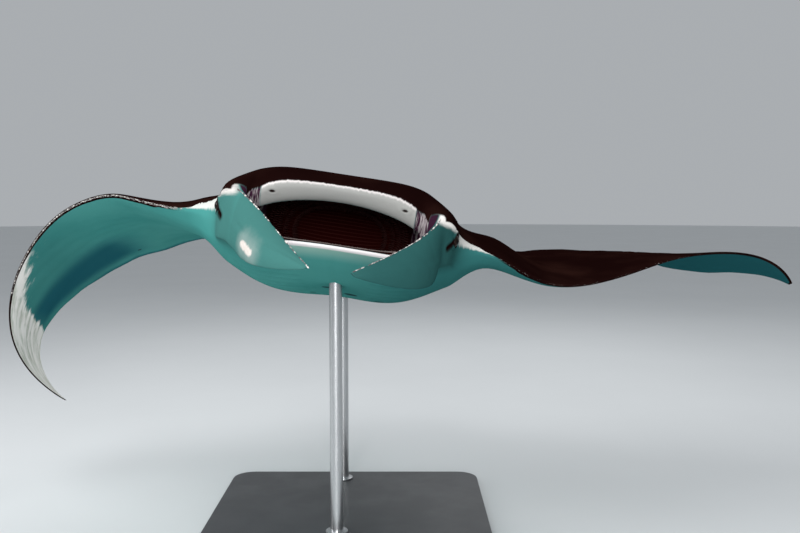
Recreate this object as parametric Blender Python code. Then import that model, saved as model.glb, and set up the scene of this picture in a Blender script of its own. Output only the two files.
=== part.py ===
"""A reef manta ray with a wide-open mouth, as a still, life-size model on a plain display stand.

Metres, +Z up. The animal faces -Y, so its own left side is at +X. The origin is the centre of
the underside of the stand's base.

The whole skin is one closed control cage, smoothed by subdivision. It is drawn level and flat
in the body's own frame (x across, y back from the upper lip, z up from the eyes), parted there
by flat cuts into head, jaw, trunk, fins and tail, and then posed: the wings are bent along
their span, and the whole animal is pitched and rolled about the point between its eyes.
"""

import math

import bmesh
import bpy
from mathutils import Matrix, Vector

# ---------------------------------------------------------------- driving dimensions
HALF_SPAN = 1.75  # centre line to wing tip, laid flat
EYE_HALF_WIDTH = 0.349  # centre line to the eye
EYE_BACK = 0.11  # eyes lie this far behind the upper lip
EYE_RADIUS = 0.024
EYE_SINK = 0.012  # the ball's centre lies this far in from the eye's place
MOUTH_HALF_WIDTH = 0.25
MOUTH_START = 0.09  # the hollow of the mouth begins and ends this far behind the lip
MOUTH_DEPTH = 0.40
TAIL_END = 2.95  # tip of the whip tail behind the upper lip
GAP = 0.0003  # between touching pieces
SMOOTH_LEVELS = 1
KEEP_SHARE = 0.44  # of the smoothed skin's triangles
SHARP_ANGLE = 40  # degrees; softer edges are shaded smooth

# Pose of the whole animal, in degrees, about the point between its eyes.
NOSE_UP = 11.0
ROLL_TO_LEFT = 8.6
EYE_HEIGHT = 1.10  # of the point between the eyes over the floor
EYE_FORWARD = -0.66  # of that point from the centre of the stand

# Stand
BASE_WIDTH = 1.00
BASE_DEPTH = 0.80
BASE_THICKNESS = 0.03
BASE_CORNER = 0.08
BASE_CORNER_STEPS = 6
ROD_RADIUS = 0.022
ROD_SIDES = 24
ROD_INSERT = 0.035  # how far a rod goes up into the body
ROD_BACKS = {"stand_rod_front": 0.52, "stand_rod_rear": 1.12}  # behind the lip

# ---------------------------------------------------------------- lines of the body
# Each line is a few (place, value) stations. These run back from the lip, on the centre line.
BACK_HEIGHT = [(0.0, 0.090), (0.12, 0.131), (0.28, 0.168), (0.45, 0.184), (0.65, 0.188),
               (0.90, 0.165), (1.20, 0.105), (1.45, 0.058), (1.62, 0.034)]
BELLY_DEPTH = [(0.0, 0.050), (0.08, 0.070), (0.20, 0.093), (0.35, 0.115), (0.50, 0.130),
               (0.75, 0.151), (0.95, 0.147), (1.20, 0.106), (1.45, 0.055), (1.62, 0.032)]
BACK_HALF_WIDTH = [(0.0, 0.35), (0.28, 0.332), (0.60, 0.41), (0.90, 0.36), (1.25, 0.22),
                   (1.62, 0.10)]
BELLY_HALF_WIDTH = [(0.0, 0.405), (0.60, 0.397), (0.90, 0.33), (1.25, 0.20), (1.62, 0.10)]
BACK_SQUARENESS = 6.5  # power of the cross-section: the higher, the flatter the middle
BELLY_SQUARENESS = 6.5
THROAT_DIP = 0.07  # share by which the belly is shallower on the centre line
THROAT_DIP_WIDTH = 0.10

# Wings: half thickness from the centre line outwards, and the line round them.
WING_HALF_THICKNESS = [(0.0, 0.022), (0.45, 0.026), (0.80, 0.020), (1.20, 0.011), (1.55, 0.005),
                       (1.75, 0.0025)]
SKIN_HALF_THICKNESS = 0.0012
WING_ROOT = 0.40  # the leading edge starts here, this far back
WING_ROOT_FRONT = 0.24
WING_TIP_BACK = 1.06
WING_SWEEP_POWER = 2.1
WING_TIP_CHORD = 0.012
REAR_BACK = 1.04  # the trailing edge behind the lip, over the outer wing
REAR_ROOT_REACH = 0.60  # further back at the centre line, fading out at the span below
REAR_ROOT_SPAN = 1.50
REAR_ROOT_POWER = 1.6
REAR_TIP_REACH = 0.03  # and slightly further back again from here to the tip
REAR_TIP_SPAN = 1.45

# Sections of the cage over head and trunk: distance from the centre line at the front of the
# head and at the rear edge, and how far the front and the rear edge lie behind the lip.
BODY_SECTIONS = [
    # x_front x_rear y_front y_rear
    (0.000, 0.000, 0.000, 1.600),
    (0.085, 0.045, 0.001, 1.610),
    (0.160, 0.077, 0.004, 1.690),
    (0.205, 0.116, 0.008, 1.735),
    (0.235, 0.160, 0.014, 1.722),
    (0.250, 0.200, 0.022, 1.645),
    (0.262, 0.232, 0.010, 1.555),
    (0.306, 0.262, 0.022, 1.508),
    (0.336, 0.295, 0.055, 1.480),
    (0.352, 0.332, 0.120, 1.455),
    (0.366, 0.370, 0.185, 1.430),
    (0.398, 0.410, 0.228, 1.405),
    (0.445, 0.450, 0.248, 1.380),
]
MOUTH_SECTIONS = 5  # the mouth runs across this many sections, up to its corner
FIN_SECTIONS = (6, 7)  # the cephalic fin grows from the front of the head between these
WING_SECTIONS = [0.52, 0.61, 0.72, 0.84, 0.96, 1.09, 1.22, 1.35, 1.47, 1.57, 1.65, 1.715]
CHORD_SHARES = [0.045, 0.12, 0.22, 0.34, 0.48, 0.63, 0.79, 0.93]  # points of a section

# Upper and lower height of the blunt front of the head and of the wing's leading edge.
BROW_HEIGHT = [(0.250, 0.030), (0.262, 0.037), (0.306, 0.055), (0.336, 0.052), (0.352, 0.044),
               (0.366, 0.036), (0.398, 0.020), (0.445, 0.011), (0.52, 0.007), (1.0, 0.005),
               (1.75, 0.002)]
CHEEK_DEPTH = [(0.250, 0.095), (0.262, 0.112), (0.306, 0.112), (0.336, 0.098), (0.352, 0.080),
               (0.366, 0.060), (0.398, 0.028), (0.445, 0.012), (0.52, 0.007), (1.0, 0.005),
               (1.75, 0.002)]
# The front's rounding: share of its height below the brow, and share of it further back.
FRONT_ROUNDING = [(0.0, 0.0), (0.25, -0.04), (0.5, 0.0), (0.75, 0.075), (1.0, 0.225)]

# Mouth, on the centre line: (behind the lip, height over the eyes).
UPPER_LIP_HEIGHT = 0.090
UPPER_LIP_DROP = 0.9  # share by which it is lower at the mouth's corner
UPPER_JAW = (0.060, 0.041)
INNER_LIP = (0.056, -0.067)
LOWER_LIP = (0.040, -0.081)
CHIN = (0.075, -0.093)
JAW_ARCH = 0.86  # drop towards the corners, times the square of the distance across
JAW_SWEEP = 0.3  # and how much further back
LIP_SWEEP = 1.3
CHIN_SWEEP = 1.1
MOUTH_MIDDLE = -0.012  # height that the hollow closes to at its corners
# Hollow of the mouth, from the roof round the throat to the floor: (share of its depth, height).
MOUTH_HOLLOW = [(0.15, 0.080), (0.48, 0.105), (0.88, 0.085), (1.0, 0.0), (0.88, -0.085),
                (0.45, -0.095), (0.12, -0.078)]

# Cephalic fins, for the left one: upper rim and lower edge from the head to the shared tip.
RIM_START = Vector((0.262, 0.010, 0.037))
RIM_BASE = RIM_START + Vector((0.022, 0.006, 0.006))
RIM_MIDDLE = Vector((0.180, -0.130, -0.080))
EDGE_START = Vector((0.290, 0.060, -0.112))
EDGE_MIDDLE = Vector((0.275, -0.150, -0.215))
FIN_TIP = Vector((0.052, -0.235, -0.176))
EDGE_TIP = FIN_TIP + Vector((0.012, 0.004, -0.008))
FIN_TIP_SHIFT = 0.022  # both tips lie this far towards the animal's left of an even pose
FIN_MIDDLE_SHIFT = 0.026  # and the middles of both fins this far again
FIN_STEPS = [0.14, 0.30, 0.46, 0.62, 0.78, 0.91, 1.0]
FIN_ROWS = 5  # points across a fin, on each face
FIN_BULGE = 0.022
FIN_RIM_SHARE = 0.45  # thickness of the fin's two edges, as a share of its middle's
FIN_HALF_THICKNESS = [(0.0, 0.020), (0.3, 0.011), (0.7, 0.006), (1.0, 0.003)]

# Rear edge of the disc, whip tail and the small fin on its root
REAR_HALF_HEIGHT = [(0.0, 0.034), (0.045, 0.030), (0.075, 0.006), (0.20, 0.003), (1.75, 0.0016)]
REAR_ROUNDING = 0.4  # how far the rear edge is rounded back, as a share of its half height
TAIL_START = 1.62
TAIL_RISE = 0.035  # upward curve of the tail, times the square of its length
TAIL_RADIUS = [(1.60, 0.033), (1.80, 0.025), (2.20, 0.015), (2.95, 0.0035)]
TAIL_RINGS = [1.66, 1.70, 1.735, 1.77, 1.81, 1.95, 2.15, 2.40, 2.70, TAIL_END]
TAIL_SIDES = 8
TAIL_SQUARENESS = 0.8  # shapes the ring between round (1) and square (0)
DORSAL_FIN = [(1.62, 0.0), (1.66, 0.012), (1.70, 0.040), (1.735, 0.066), (1.77, 0.060),
              (1.81, 0.0)]
DORSAL_FIN_LEAN = 0.5  # the fin's top leans back by this share of its height

# Bend of each wing: (distance from the centre line along the flat wing, degrees up from level).
LEFT_BEND = [(0.30, 0), (0.38, 0), (0.45, -7), (0.54, -22), (0.63, -14), (0.72, 6), (0.85, 22),
             (1.02, 28), (1.22, 19), (1.42, 10), (1.57, -3), (1.67, -18), (1.75, -35)]
RIGHT_BEND = [(0.30, 0), (0.38, 0), (0.46, -5), (0.56, 5), (0.66, 8), (0.77, -14), (0.90, -29),
              (1.03, -43), (1.17, -51), (1.31, -62), (1.43, -76), (1.54, -99), (1.65, -123),
              (1.75, -139)]
# Twist of each wing about its leading edge (degrees, rear edge down).
LEFT_TWIST = [(0.30, 0), (0.38, 0), (0.50, -9), (0.65, -13), (0.85, -14.5), (1.10, -11),
              (1.30, -0.5), (1.52, 7), (1.75, 9)]
RIGHT_TWIST = [(0.30, 0), (0.38, 0), (0.48, -4), (0.62, -2), (0.80, 3), (1.10, 4.3),
               (1.42, 1), (1.75, -6)]
LEFT_SWEEP = -0.235  # how far the posed wing tip lies behind its flat place
RIGHT_SWEEP = 0.39
BEND_START = 0.38
BEND_STEP = 0.01
BELLY_LEAN = 1.1  # share by which the belly is deeper on the animal's right, per square metre
LEAN_FADE = (0.40, 0.60)  # and the lean fades out between these distances from the centre line
LEAN_START = 0.10  # and is fully there this far behind the lip

# ---------------------------------------------------------------- where the body is parted
HEAD_REAR = 0.45
JAW_TOP = -0.032
WING_CUTS = (0.38, 0.88, 1.28)
TRUNK_REAR = 1.52
PELVIC_CUT = 0.052
TAIL_CUTS = (1.86, 2.40)
FIN_CUT = -0.004
DORSAL_CUT = 0.031


def along(line, place):
    """The value of a line of (place, value) stations, on a smooth curve with no overshoot."""
    places = [station[0] for station in line]
    values = [station[1] for station in line]
    if place <= places[0]:
        return values[0]
    if place >= places[-1]:
        return values[-1]
    slopes = [(values[i + 1] - values[i]) / (places[i + 1] - places[i])
              for i in range(len(line) - 1)]
    tangents = [slopes[0]]
    for before, after in zip(slopes, slopes[1:]):
        same_way = before * after > 0
        tangents.append(2 * before * after / (before + after) if same_way else 0.0)
    tangents.append(slopes[-1])
    i = max(k for k in range(len(line) - 1) if places[k] <= place)
    width = places[i + 1] - places[i]
    u = (place - places[i]) / width
    return ((1 + 2 * u) * (1 - u) ** 2 * values[i] + u * (1 - u) ** 2 * width * tangents[i]
            + u * u * (3 - 2 * u) * values[i + 1] + u * u * (u - 1) * width * tangents[i + 1])


# ---------------------------------------------------------------- outlines
def leading_edge(x):
    share = max(0.0, (x - WING_ROOT) / (HALF_SPAN - WING_ROOT))
    return WING_ROOT_FRONT + (WING_TIP_BACK - WING_ROOT_FRONT) * share ** WING_SWEEP_POWER


def trailing_edge(x):
    root = max(0.0, 1 - x / REAR_ROOT_SPAN) ** REAR_ROOT_POWER
    tip = max(0.0, (x - REAR_TIP_SPAN) / (HALF_SPAN - REAR_TIP_SPAN)) ** 2
    return REAR_BACK + REAR_ROOT_REACH * root + REAR_TIP_REACH * tip


def fullness(x, half_width, squareness):
    """Share of the centre line's height that is left at a distance from it."""
    return 1 / (1 + (x / half_width) ** squareness)


def wing_half_thickness(x, chord_share):
    """A blade that is rounded in front, thickest at a third of the chord and thin behind."""
    rounding = 2.2 * math.sqrt(chord_share) * (1 - chord_share)
    return along(WING_HALF_THICKNESS, x) * rounding + SKIN_HALF_THICKNESS


def back_surface(x, y, chord_share):
    body = along(BACK_HEIGHT, y) * fullness(x, along(BACK_HALF_WIDTH, y), BACK_SQUARENESS)
    return body + wing_half_thickness(x, chord_share)


def belly_surface(x, y, chord_share):
    body = along(BELLY_DEPTH, y) * fullness(x, along(BELLY_HALF_WIDTH, y), BELLY_SQUARENESS)
    dip = THROAT_DIP * math.exp(-((x / THROAT_DIP_WIDTH) ** 2))
    return -body * (1 - dip) - wing_half_thickness(x, chord_share)


# ---------------------------------------------------------------- sections
def mouth_front(x, y_front):
    """The open mouth's section at x: upper lip and jaw, roof, throat, floor, lower lip, chin."""
    across = x / MOUTH_HALF_WIDTH
    closing = math.sqrt(1 - across ** 2)
    upper_lip = (x, y_front, UPPER_LIP_HEIGHT * (1 - UPPER_LIP_DROP * across ** 6))
    jaw = (x, UPPER_JAW[0] + JAW_SWEEP * x * x, UPPER_JAW[1] - JAW_ARCH * x * x)
    hollow = []
    for deep, height in MOUTH_HOLLOW:
        y = MOUTH_START + (MOUTH_DEPTH - MOUTH_START) * deep * closing
        hollow.append((x, y, MOUTH_MIDDLE + (height - MOUTH_MIDDLE) * closing))
    inner_lip = (x, INNER_LIP[0] + LIP_SWEEP * x * x, INNER_LIP[1])
    lower_lip = (x, LOWER_LIP[0] + LIP_SWEEP * x * x, LOWER_LIP[1])
    chin = (x, CHIN[0] + CHIN_SWEEP * x * x, CHIN[1])
    return [upper_lip, jaw] + hollow + [inner_lip, lower_lip, chin]


def plain_front(x, y_front):
    """The blunt front of the head beside the mouth, or the wing's rounded leading edge.

    Its middle point is repeated, so that it has as many points as a section of the mouth.
    """
    top = along(BROW_HEIGHT, x)
    height = top + along(CHEEK_DEPTH, x)
    front = [(x, y_front + back * height, top - down * height) for down, back in FRONT_ROUNDING]
    return front[:2] + front[2:3] * (len(MOUTH_HOLLOW) + 1) + front[3:]


def section(x_front, x_rear, y_front, y_rear, front):
    """A section's points in order: rear edge, back, front, belly, and to the rear edge again."""
    back = []
    belly = []
    for share in CHORD_SHARES:
        ease = share * share * (3 - 2 * share)
        x = x_front + (x_rear - x_front) * ease
        y = y_front + (y_rear - y_front) * share
        back.append((x, y, back_surface(x, y, share)))
        belly.append((x, y, belly_surface(x, y, share)))
    height = along(REAR_HALF_HEIGHT, x_rear)
    rear = [(x_rear, y_rear + REAR_ROUNDING * height, 0.0), (x_rear, y_rear, height)]
    return rear + back[::-1] + front + belly + [(x_rear, y_rear, -height)]


def wing_tip_section(count):
    """The last section is one line, so that back and belly meet there."""
    y_front = leading_edge(HALF_SPAN)
    front = [0.0] * (count - 3 - 2 * len(CHORD_SHARES))
    shares = [1.0, 1.0] + CHORD_SHARES[::-1] + front + CHORD_SHARES + [1.0]
    return [(HALF_SPAN, y_front + WING_TIP_CHORD * share, 0.0) for share in shares]


def half_sections():
    """Sections from the centre line to the wing tip."""
    sections = []
    for index, (x_front, x_rear, y_front, y_rear) in enumerate(BODY_SECTIONS):
        shape_front = mouth_front if index < MOUTH_SECTIONS else plain_front
        front = shape_front(x_front, y_front)
        sections.append(section(x_front, x_rear, y_front, y_rear, front))
    for x in WING_SECTIONS:
        y_front = leading_edge(x)
        sections.append(section(x, x, y_front, trailing_edge(x), plain_front(x, y_front)))
    sections.append(wing_tip_section(len(sections[0])))
    return sections


def quadratic(start, middle, end, share):
    """A point on the smooth curve from start to end that is pulled towards middle."""
    return (1 - share) ** 2 * start + 2 * share * (1 - share) * middle + share ** 2 * end


def fin_shift(share):
    """How far both fins lie towards the animal's left of an even pose."""
    return FIN_TIP_SHIFT * share ** 2 + FIN_MIDDLE_SHIFT * math.sin(math.pi * share ** 0.7)


def fin_ring(share):
    """One section of the left cephalic fin: inner face from rim to edge, then outer face."""
    rim = quadratic(RIM_BASE, RIM_MIDDLE, FIN_TIP, share)
    edge = quadratic(EDGE_START, EDGE_MIDDLE, EDGE_TIP, share)
    outward = (FIN_TIP - RIM_START).cross(edge - rim).normalized()
    inner = []
    outer = []
    for row in range(FIN_ROWS):
        across = row / (FIN_ROWS - 1)
        crown = FIN_BULGE * 4 * across * (1 - across) * math.sin(math.pi * share)
        middle = rim.lerp(edge, across) + outward * crown
        at_edge = row in (0, FIN_ROWS - 1)
        thickness = along(FIN_HALF_THICKNESS, share) * (FIN_RIM_SHARE if at_edge else 1.0)
        inner.append(middle - outward * thickness)
        outer.append(middle + outward * thickness)
    return inner + outer[::-1]


def tail_ring(y):
    """Points round the tail, from its upper right side, with the dorsal fin on top."""
    radius = along(TAIL_RADIUS, y)
    crest = along(DORSAL_FIN, y)
    rise = TAIL_RISE * (y - TAIL_START) ** 2
    points = []
    for step in range(TAIL_SIDES):
        angle = math.radians(135) - 2 * math.pi * step / TAIL_SIDES
        across = math.copysign(abs(math.cos(angle)) ** TAIL_SQUARENESS, math.cos(angle))
        up = math.copysign(abs(math.sin(angle)) ** TAIL_SQUARENESS, math.sin(angle))
        points.append(Vector((radius * across, y, rise + radius * up)))
    points[1] += Vector((0, DORSAL_FIN_LEAN * crest, crest))
    return points


# ---------------------------------------------------------------- cage
def join_rings(mesh, rings):
    """Quads between successive closed rings of vertices, leaving out corners that coincide."""
    for one, two in zip(rings, rings[1:]):
        for i in range(len(one)):
            j = (i + 1) % len(one)
            corners = []
            for vertex in (one[i], one[j], two[j], two[i]):
                if vertex not in corners:
                    corners.append(vertex)
            if len(corners) > 2:
                mesh.faces.new(corners)


def open_faces(mesh, corners):
    """Removes the faces whose corners all belong to this group."""
    group = set(corners)
    inside = [face for face in mesh.faces if set(face.verts) <= group]
    bmesh.ops.delete(mesh, geom=inside, context="FACES_ONLY")


def section_rings(mesh):
    """Vertices of all sections from right wing tip to left; points that coincide share one."""
    half = half_sections()
    right = [[(-x, y, z) for x, y, z in one] for one in half[:0:-1]]
    rings = []
    for one in right + half:
        made = {}
        for point in one:
            if point not in made:
                made[point] = mesh.verts.new(point)
        rings.append([made[point] for point in one])
    return rings


def grow_cephalic_fin(mesh, rings, side):
    """Opens the front of the head beside the mouth and grows the fin from there."""
    middle = len(rings) // 2
    brow = 2 + len(CHORD_SHARES)  # index of the brow in a section
    below = brow + 3 + len(MOUTH_HOLLOW)  # and of the first point below its middle
    rows = [brow, brow + 1, brow + 2, below, below + 1]
    near, far = (rings[middle + side * index] for index in FIN_SECTIONS)
    base = [near[row] for row in rows] + [far[row] for row in rows[::-1]]
    open_faces(mesh, base)
    fin = [base]
    for share in FIN_STEPS:
        shift = fin_shift(share)
        fin.append([mesh.verts.new((side * x + shift, y, z)) for x, y, z in fin_ring(share)])
    join_rings(mesh, fin)
    tip = fin[-1]
    for i in range(FIN_ROWS - 1):
        mesh.faces.new((tip[i], tip[i + 1], tip[-2 - i], tip[-1 - i]))


def grow_tail(mesh, rings):
    """Opens the rear edge on the centre line and grows the tail from there."""
    middle = len(rings) // 2
    right, centre, left = rings[middle - 1], rings[middle], rings[middle + 1]
    base = [right[1], centre[1], left[1], left[0], left[-1], centre[-1], right[-1], right[0]]
    open_faces(mesh, base + [centre[0]])
    tail = [base] + [[mesh.verts.new(point) for point in tail_ring(y)] for y in TAIL_RINGS]
    join_rings(mesh, tail)
    mesh.faces.new(tail[-1])


def cage():
    """The closed control cage of the whole animal, in the body's own frame."""
    mesh = bmesh.new()
    rings = section_rings(mesh)
    join_rings(mesh, rings)
    for side in (1, -1):
        grow_cephalic_fin(mesh, rings, side)
    grow_tail(mesh, rings)
    loose = [edge for edge in mesh.edges if not edge.link_faces]
    bmesh.ops.delete(mesh, geom=loose, context="EDGES")
    loose = [vertex for vertex in mesh.verts if not vertex.link_faces]
    bmesh.ops.delete(mesh, geom=loose, context="VERTS")
    bmesh.ops.recalc_face_normals(mesh, faces=mesh.faces)
    return mesh


def leaned(point):
    """A point of the flat body, after the belly's sideways lean."""
    if point.z >= 0:
        return point
    first, last = LEAN_FADE
    width = min(1.0, max(0.0, (last - abs(point.x)) / (last - first)))
    depth = min(1.0, max(0.0, point.y / LEAN_START))
    lean = BELLY_LEAN * point.x * abs(point.x) * width * depth
    return Vector((point.x, point.y, point.z * (1 - lean)))


def smoothed(mesh, name):
    """The cage after subdivision, thinned where it is smooth, in triangles."""
    data = bpy.data.meshes.new(name)
    mesh.to_mesh(data)
    helper = bpy.data.objects.new(name, data)
    bpy.context.scene.collection.objects.link(helper)
    subdivision = helper.modifiers.new("smooth", "SUBSURF")
    subdivision.levels = SMOOTH_LEVELS
    subdivision.render_levels = SMOOTH_LEVELS
    thinning = helper.modifiers.new("thin", "DECIMATE")
    thinning.ratio = KEEP_SHARE
    result = bmesh.new()
    result.from_object(helper, bpy.context.evaluated_depsgraph_get())
    bpy.data.objects.remove(helper)
    bpy.data.meshes.remove(data)
    for vertex in result.verts:
        vertex.co = leaned(vertex.co)
    bmesh.ops.triangulate(result, faces=result.faces)
    return result


# ---------------------------------------------------------------- pose
def bend_path(bend):
    """Places along a bent wing: for each step of span, how far out and how far up it lies."""
    steps = round((HALF_SPAN - BEND_START) / BEND_STEP) + 2
    out = BEND_START
    up = 0.0
    path = []
    for step in range(steps):
        angle = math.radians(along(bend, BEND_START + (step + 0.5) * BEND_STEP))
        path.append((out, up))
        out += BEND_STEP * math.cos(angle)
        up += BEND_STEP * math.sin(angle)
    return path


WINGS = {
    1: (LEFT_BEND, LEFT_TWIST, LEFT_SWEEP, bend_path(LEFT_BEND)),
    -1: (RIGHT_BEND, RIGHT_TWIST, RIGHT_SWEEP, bend_path(RIGHT_BEND)),
}


def bent(point):
    """A point of the flat body, carried to its place in the bent wing."""
    span = abs(point.x)
    if span <= BEND_START:
        return point
    side = 1 if point.x > 0 else -1
    bend, twist, sweep, path = WINGS[side]
    steps = (span - BEND_START) / BEND_STEP
    index = min(int(steps), len(path) - 2)
    share = steps - index
    out = path[index][0] * (1 - share) + path[index + 1][0] * share
    up = path[index][1] * (1 - share) + path[index + 1][1] * share
    slope = math.radians(along(bend, span))
    turn = math.radians(along(twist, span))
    front = leading_edge(span)
    back = point.y - front
    along_chord = back * math.cos(turn) + point.z * math.sin(turn)
    above = point.z * math.cos(turn) - back * math.sin(turn)
    reach = (span - BEND_START) / (HALF_SPAN - BEND_START)
    return Vector((side * (out - above * math.sin(slope)),
                   front + along_chord + sweep * reach * reach,
                   up + above * math.cos(slope)))


def body_place():
    """Turns the body's own frame into the place and attitude over the stand."""
    turn = (Matrix.Rotation(math.radians(ROLL_TO_LEFT), 4, "Y")
            @ Matrix.Rotation(math.radians(-NOSE_UP), 4, "X"))
    eyes = Matrix.Translation((0, EYE_FORWARD, EYE_HEIGHT))
    return eyes @ turn @ Matrix.Translation((0, -EYE_BACK, 0))


PLACE = body_place()
AXES = {"x": Vector((1, 0, 0)), "y": Vector((0, 1, 0)), "z": Vector((0, 0, 1))}


# ---------------------------------------------------------------- parting into nodes
def cut_off(mesh, axis, place, keep_above):
    """Keeps the part of a mesh on one side of a flat cut, half a gap away, and closes it."""
    side = 1 if keep_above else -1
    normal = AXES[axis]
    point = normal * (place + side * GAP / 2)
    everything = mesh.verts[:] + mesh.edges[:] + mesh.faces[:]
    bmesh.ops.bisect_plane(mesh, geom=everything, dist=1e-6, plane_co=point,
                           plane_no=normal * -side, clear_outer=True)
    rim = [edge for edge in mesh.edges if edge.is_boundary]
    bmesh.ops.holes_fill(mesh, edges=rim, sides=0)


def body_cuts():
    """The flat cuts (axis, place, keep above?) that leave each named part of the body."""
    root, middle, tip = WING_CUTS
    within = [("x", root, False), ("x", -root, True)]
    front = within + [("y", FIN_CUT, True), ("y", HEAD_REAR, False)]
    tail_root = [("x", PELVIC_CUT, False), ("x", -PELVIC_CUT, True), ("y", TRUNK_REAR, True),
                 ("y", TAIL_CUTS[0], False)]
    cuts = {
        "head": front + [("z", JAW_TOP, True)],
        "lower_jaw": front + [("z", JAW_TOP, False)],
        "trunk": within + [("y", HEAD_REAR, True), ("y", TRUNK_REAR, False)],
        "dorsal_fin": tail_root + [("z", DORSAL_CUT, True)],
        "tail_base": tail_root + [("z", DORSAL_CUT, False)],
        "tail_middle": [("y", TAIL_CUTS[0], True), ("y", TAIL_CUTS[1], False)],
        "tail_tip": [("y", TAIL_CUTS[1], True)],
    }
    for label, side in (("left", 1), ("right", -1)):
        outside = side > 0
        cuts[f"cephalic_fin_{label}"] = [("y", FIN_CUT, False), ("x", 0.0, outside)]
        cuts[f"pelvic_fin_{label}"] = [("y", TRUNK_REAR, True), ("x", side * PELVIC_CUT, outside),
                                       ("x", side * root, not outside)]
        cuts[f"pectoral_fin_{label}_inner"] = [("x", side * root, outside),
                                               ("x", side * middle, not outside)]
        cuts[f"pectoral_fin_{label}_middle"] = [("x", side * middle, outside),
                                                ("x", side * tip, not outside)]
        cuts[f"pectoral_fin_{label}_tip"] = [("x", side * tip, outside)]
    return cuts


def link(name, mesh, finish):
    """Turns a bmesh into a named object with one material."""
    data = bpy.data.meshes.new(name)
    mesh.to_mesh(data)
    mesh.free()
    data.shade_smooth()
    data.set_sharp_from_angle(angle=math.radians(SHARP_ANGLE))
    node = bpy.data.objects.new(name, data)
    node.data.materials.append(finish)
    bpy.context.scene.collection.objects.link(node)
    return node


def body_piece(whole, name, cuts, finish):
    """Parts one node out of the whole body and poses it."""
    piece = whole.copy()
    for axis, place, keep_above in cuts:
        cut_off(piece, axis, place, keep_above)
    for vertex in piece.verts:
        vertex.co = PLACE @ bent(vertex.co)
    return link(name, piece, finish)


# ---------------------------------------------------------------- eyes and stand
def material(name, colour, roughness, metallic):
    made = bpy.data.materials.new(name)
    made.use_nodes = True
    shader = made.node_tree.nodes["Principled BSDF"]
    shader.inputs["Base Color"].default_value = (*colour, 1)
    shader.inputs["Roughness"].default_value = roughness
    shader.inputs["Metallic"].default_value = metallic
    return made


def eye_mesh(side, radius):
    """A ball at the animal's left (1) or right (-1) eye."""
    mesh = bmesh.new()
    bmesh.ops.create_uvsphere(mesh, u_segments=14, v_segments=8, radius=radius)
    centre = PLACE @ Vector((side * (EYE_HALF_WIDTH - EYE_SINK), EYE_BACK, 0.0))
    bmesh.ops.translate(mesh, verts=mesh.verts, vec=centre)
    return mesh


def rod_mesh(foot, top, radius):
    """An upright round rod from its foot to a height."""
    mesh = bmesh.new()
    bmesh.ops.create_cone(mesh, cap_ends=True, segments=ROD_SIDES, radius1=radius,
                          radius2=radius, depth=top - foot.z)
    bmesh.ops.translate(mesh, verts=mesh.verts, vec=(foot.x, foot.y, (foot.z + top) / 2))
    return mesh


def base_mesh():
    """A flat plate with rounded corners, its underside centred on the origin."""
    mesh = bmesh.new()
    bmesh.ops.create_cube(mesh, size=1)
    bmesh.ops.scale(mesh, verts=mesh.verts, vec=(BASE_WIDTH, BASE_DEPTH, BASE_THICKNESS))
    bmesh.ops.translate(mesh, verts=mesh.verts, vec=(0, 0, BASE_THICKNESS / 2))
    upright = [edge for edge in mesh.edges
               if abs(edge.verts[0].co.z - edge.verts[1].co.z) > BASE_THICKNESS / 2]
    bmesh.ops.bevel(mesh, geom=upright, offset=BASE_CORNER, segments=BASE_CORNER_STEPS,
                    affect="EDGES", profile=0.5)
    return mesh


def belly_point(back):
    """Where the centre line of the belly lies over the floor, at a distance behind the lip."""
    share = back / BODY_SECTIONS[0][3]
    return PLACE @ Vector((0, back, belly_surface(0, back, share)))


def cut_socket(node, mesh, name):
    """Cuts the shape of a bmesh out of a node, with a helper that stays out of the model."""
    cutter = link(name, mesh, node.data.materials[0])
    cutter.hide_render = True
    cutter.display_type = "WIRE"
    boolean = node.modifiers.new(name, "BOOLEAN")
    boolean.operation = "DIFFERENCE"
    boolean.object = cutter


def add_eyes(head, finish):
    for label, side in (("left", 1), ("right", -1)):
        link(f"eye_{label}", eye_mesh(side, EYE_RADIUS), finish)
        cut_socket(head, eye_mesh(side, EYE_RADIUS + 2 * GAP), f"eye_socket_{label}")


def add_stand(trunk, painted, steel):
    link("stand_base", base_mesh(), painted)
    for name, back in ROD_BACKS.items():
        belly = belly_point(back)
        foot = Vector((belly.x, belly.y, BASE_THICKNESS + GAP))
        top = belly.z + ROD_INSERT
        link(name, rod_mesh(foot, top, ROD_RADIUS), steel)
        cut_socket(trunk, rod_mesh(foot, top + GAP, ROD_RADIUS + GAP), name + "_socket")


def main():
    for leftover in list(bpy.data.objects):
        bpy.data.objects.remove(leftover, do_unlink=True)
    skin = material("skin", (0.16, 0.22, 0.21), 0.45, 0.0)
    eye = material("eye", (0.01, 0.01, 0.012), 0.1, 0.0)
    painted = material("painted_base", (0.05, 0.05, 0.055), 0.5, 0.0)
    steel = material("brushed_steel", (0.55, 0.56, 0.57), 0.3, 1.0)

    whole = smoothed(cage(), "body")
    nodes = {name: body_piece(whole, name, cuts, skin) for name, cuts in body_cuts().items()}
    whole.free()
    add_eyes(nodes["head"], eye)
    add_stand(nodes["trunk"], painted, steel)


main()
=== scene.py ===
# %% [markdown]
# # A reef manta ray on a display stand
# The model is life-size, as in a museum hall: a manta gliding with its mouth wide open, its two
# head fins unrolled into a funnel, banked to its own left. It faces -Y and its left is at +X.
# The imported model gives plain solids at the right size. This lesson dresses them: one soft skin
# without seams over all the flesh, eyes in folded rims, combs of gill plates deep in the mouth,
# a band of tiny teeth, a beaded edge along the head fins and one wing, and the stand's finish.
# Everything is in metres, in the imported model's own frame.

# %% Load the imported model
import math

import bmesh
import bpy
import numpy as np
from mathutils import Matrix, Vector
from mathutils.bvhtree import BVHTree


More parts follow.
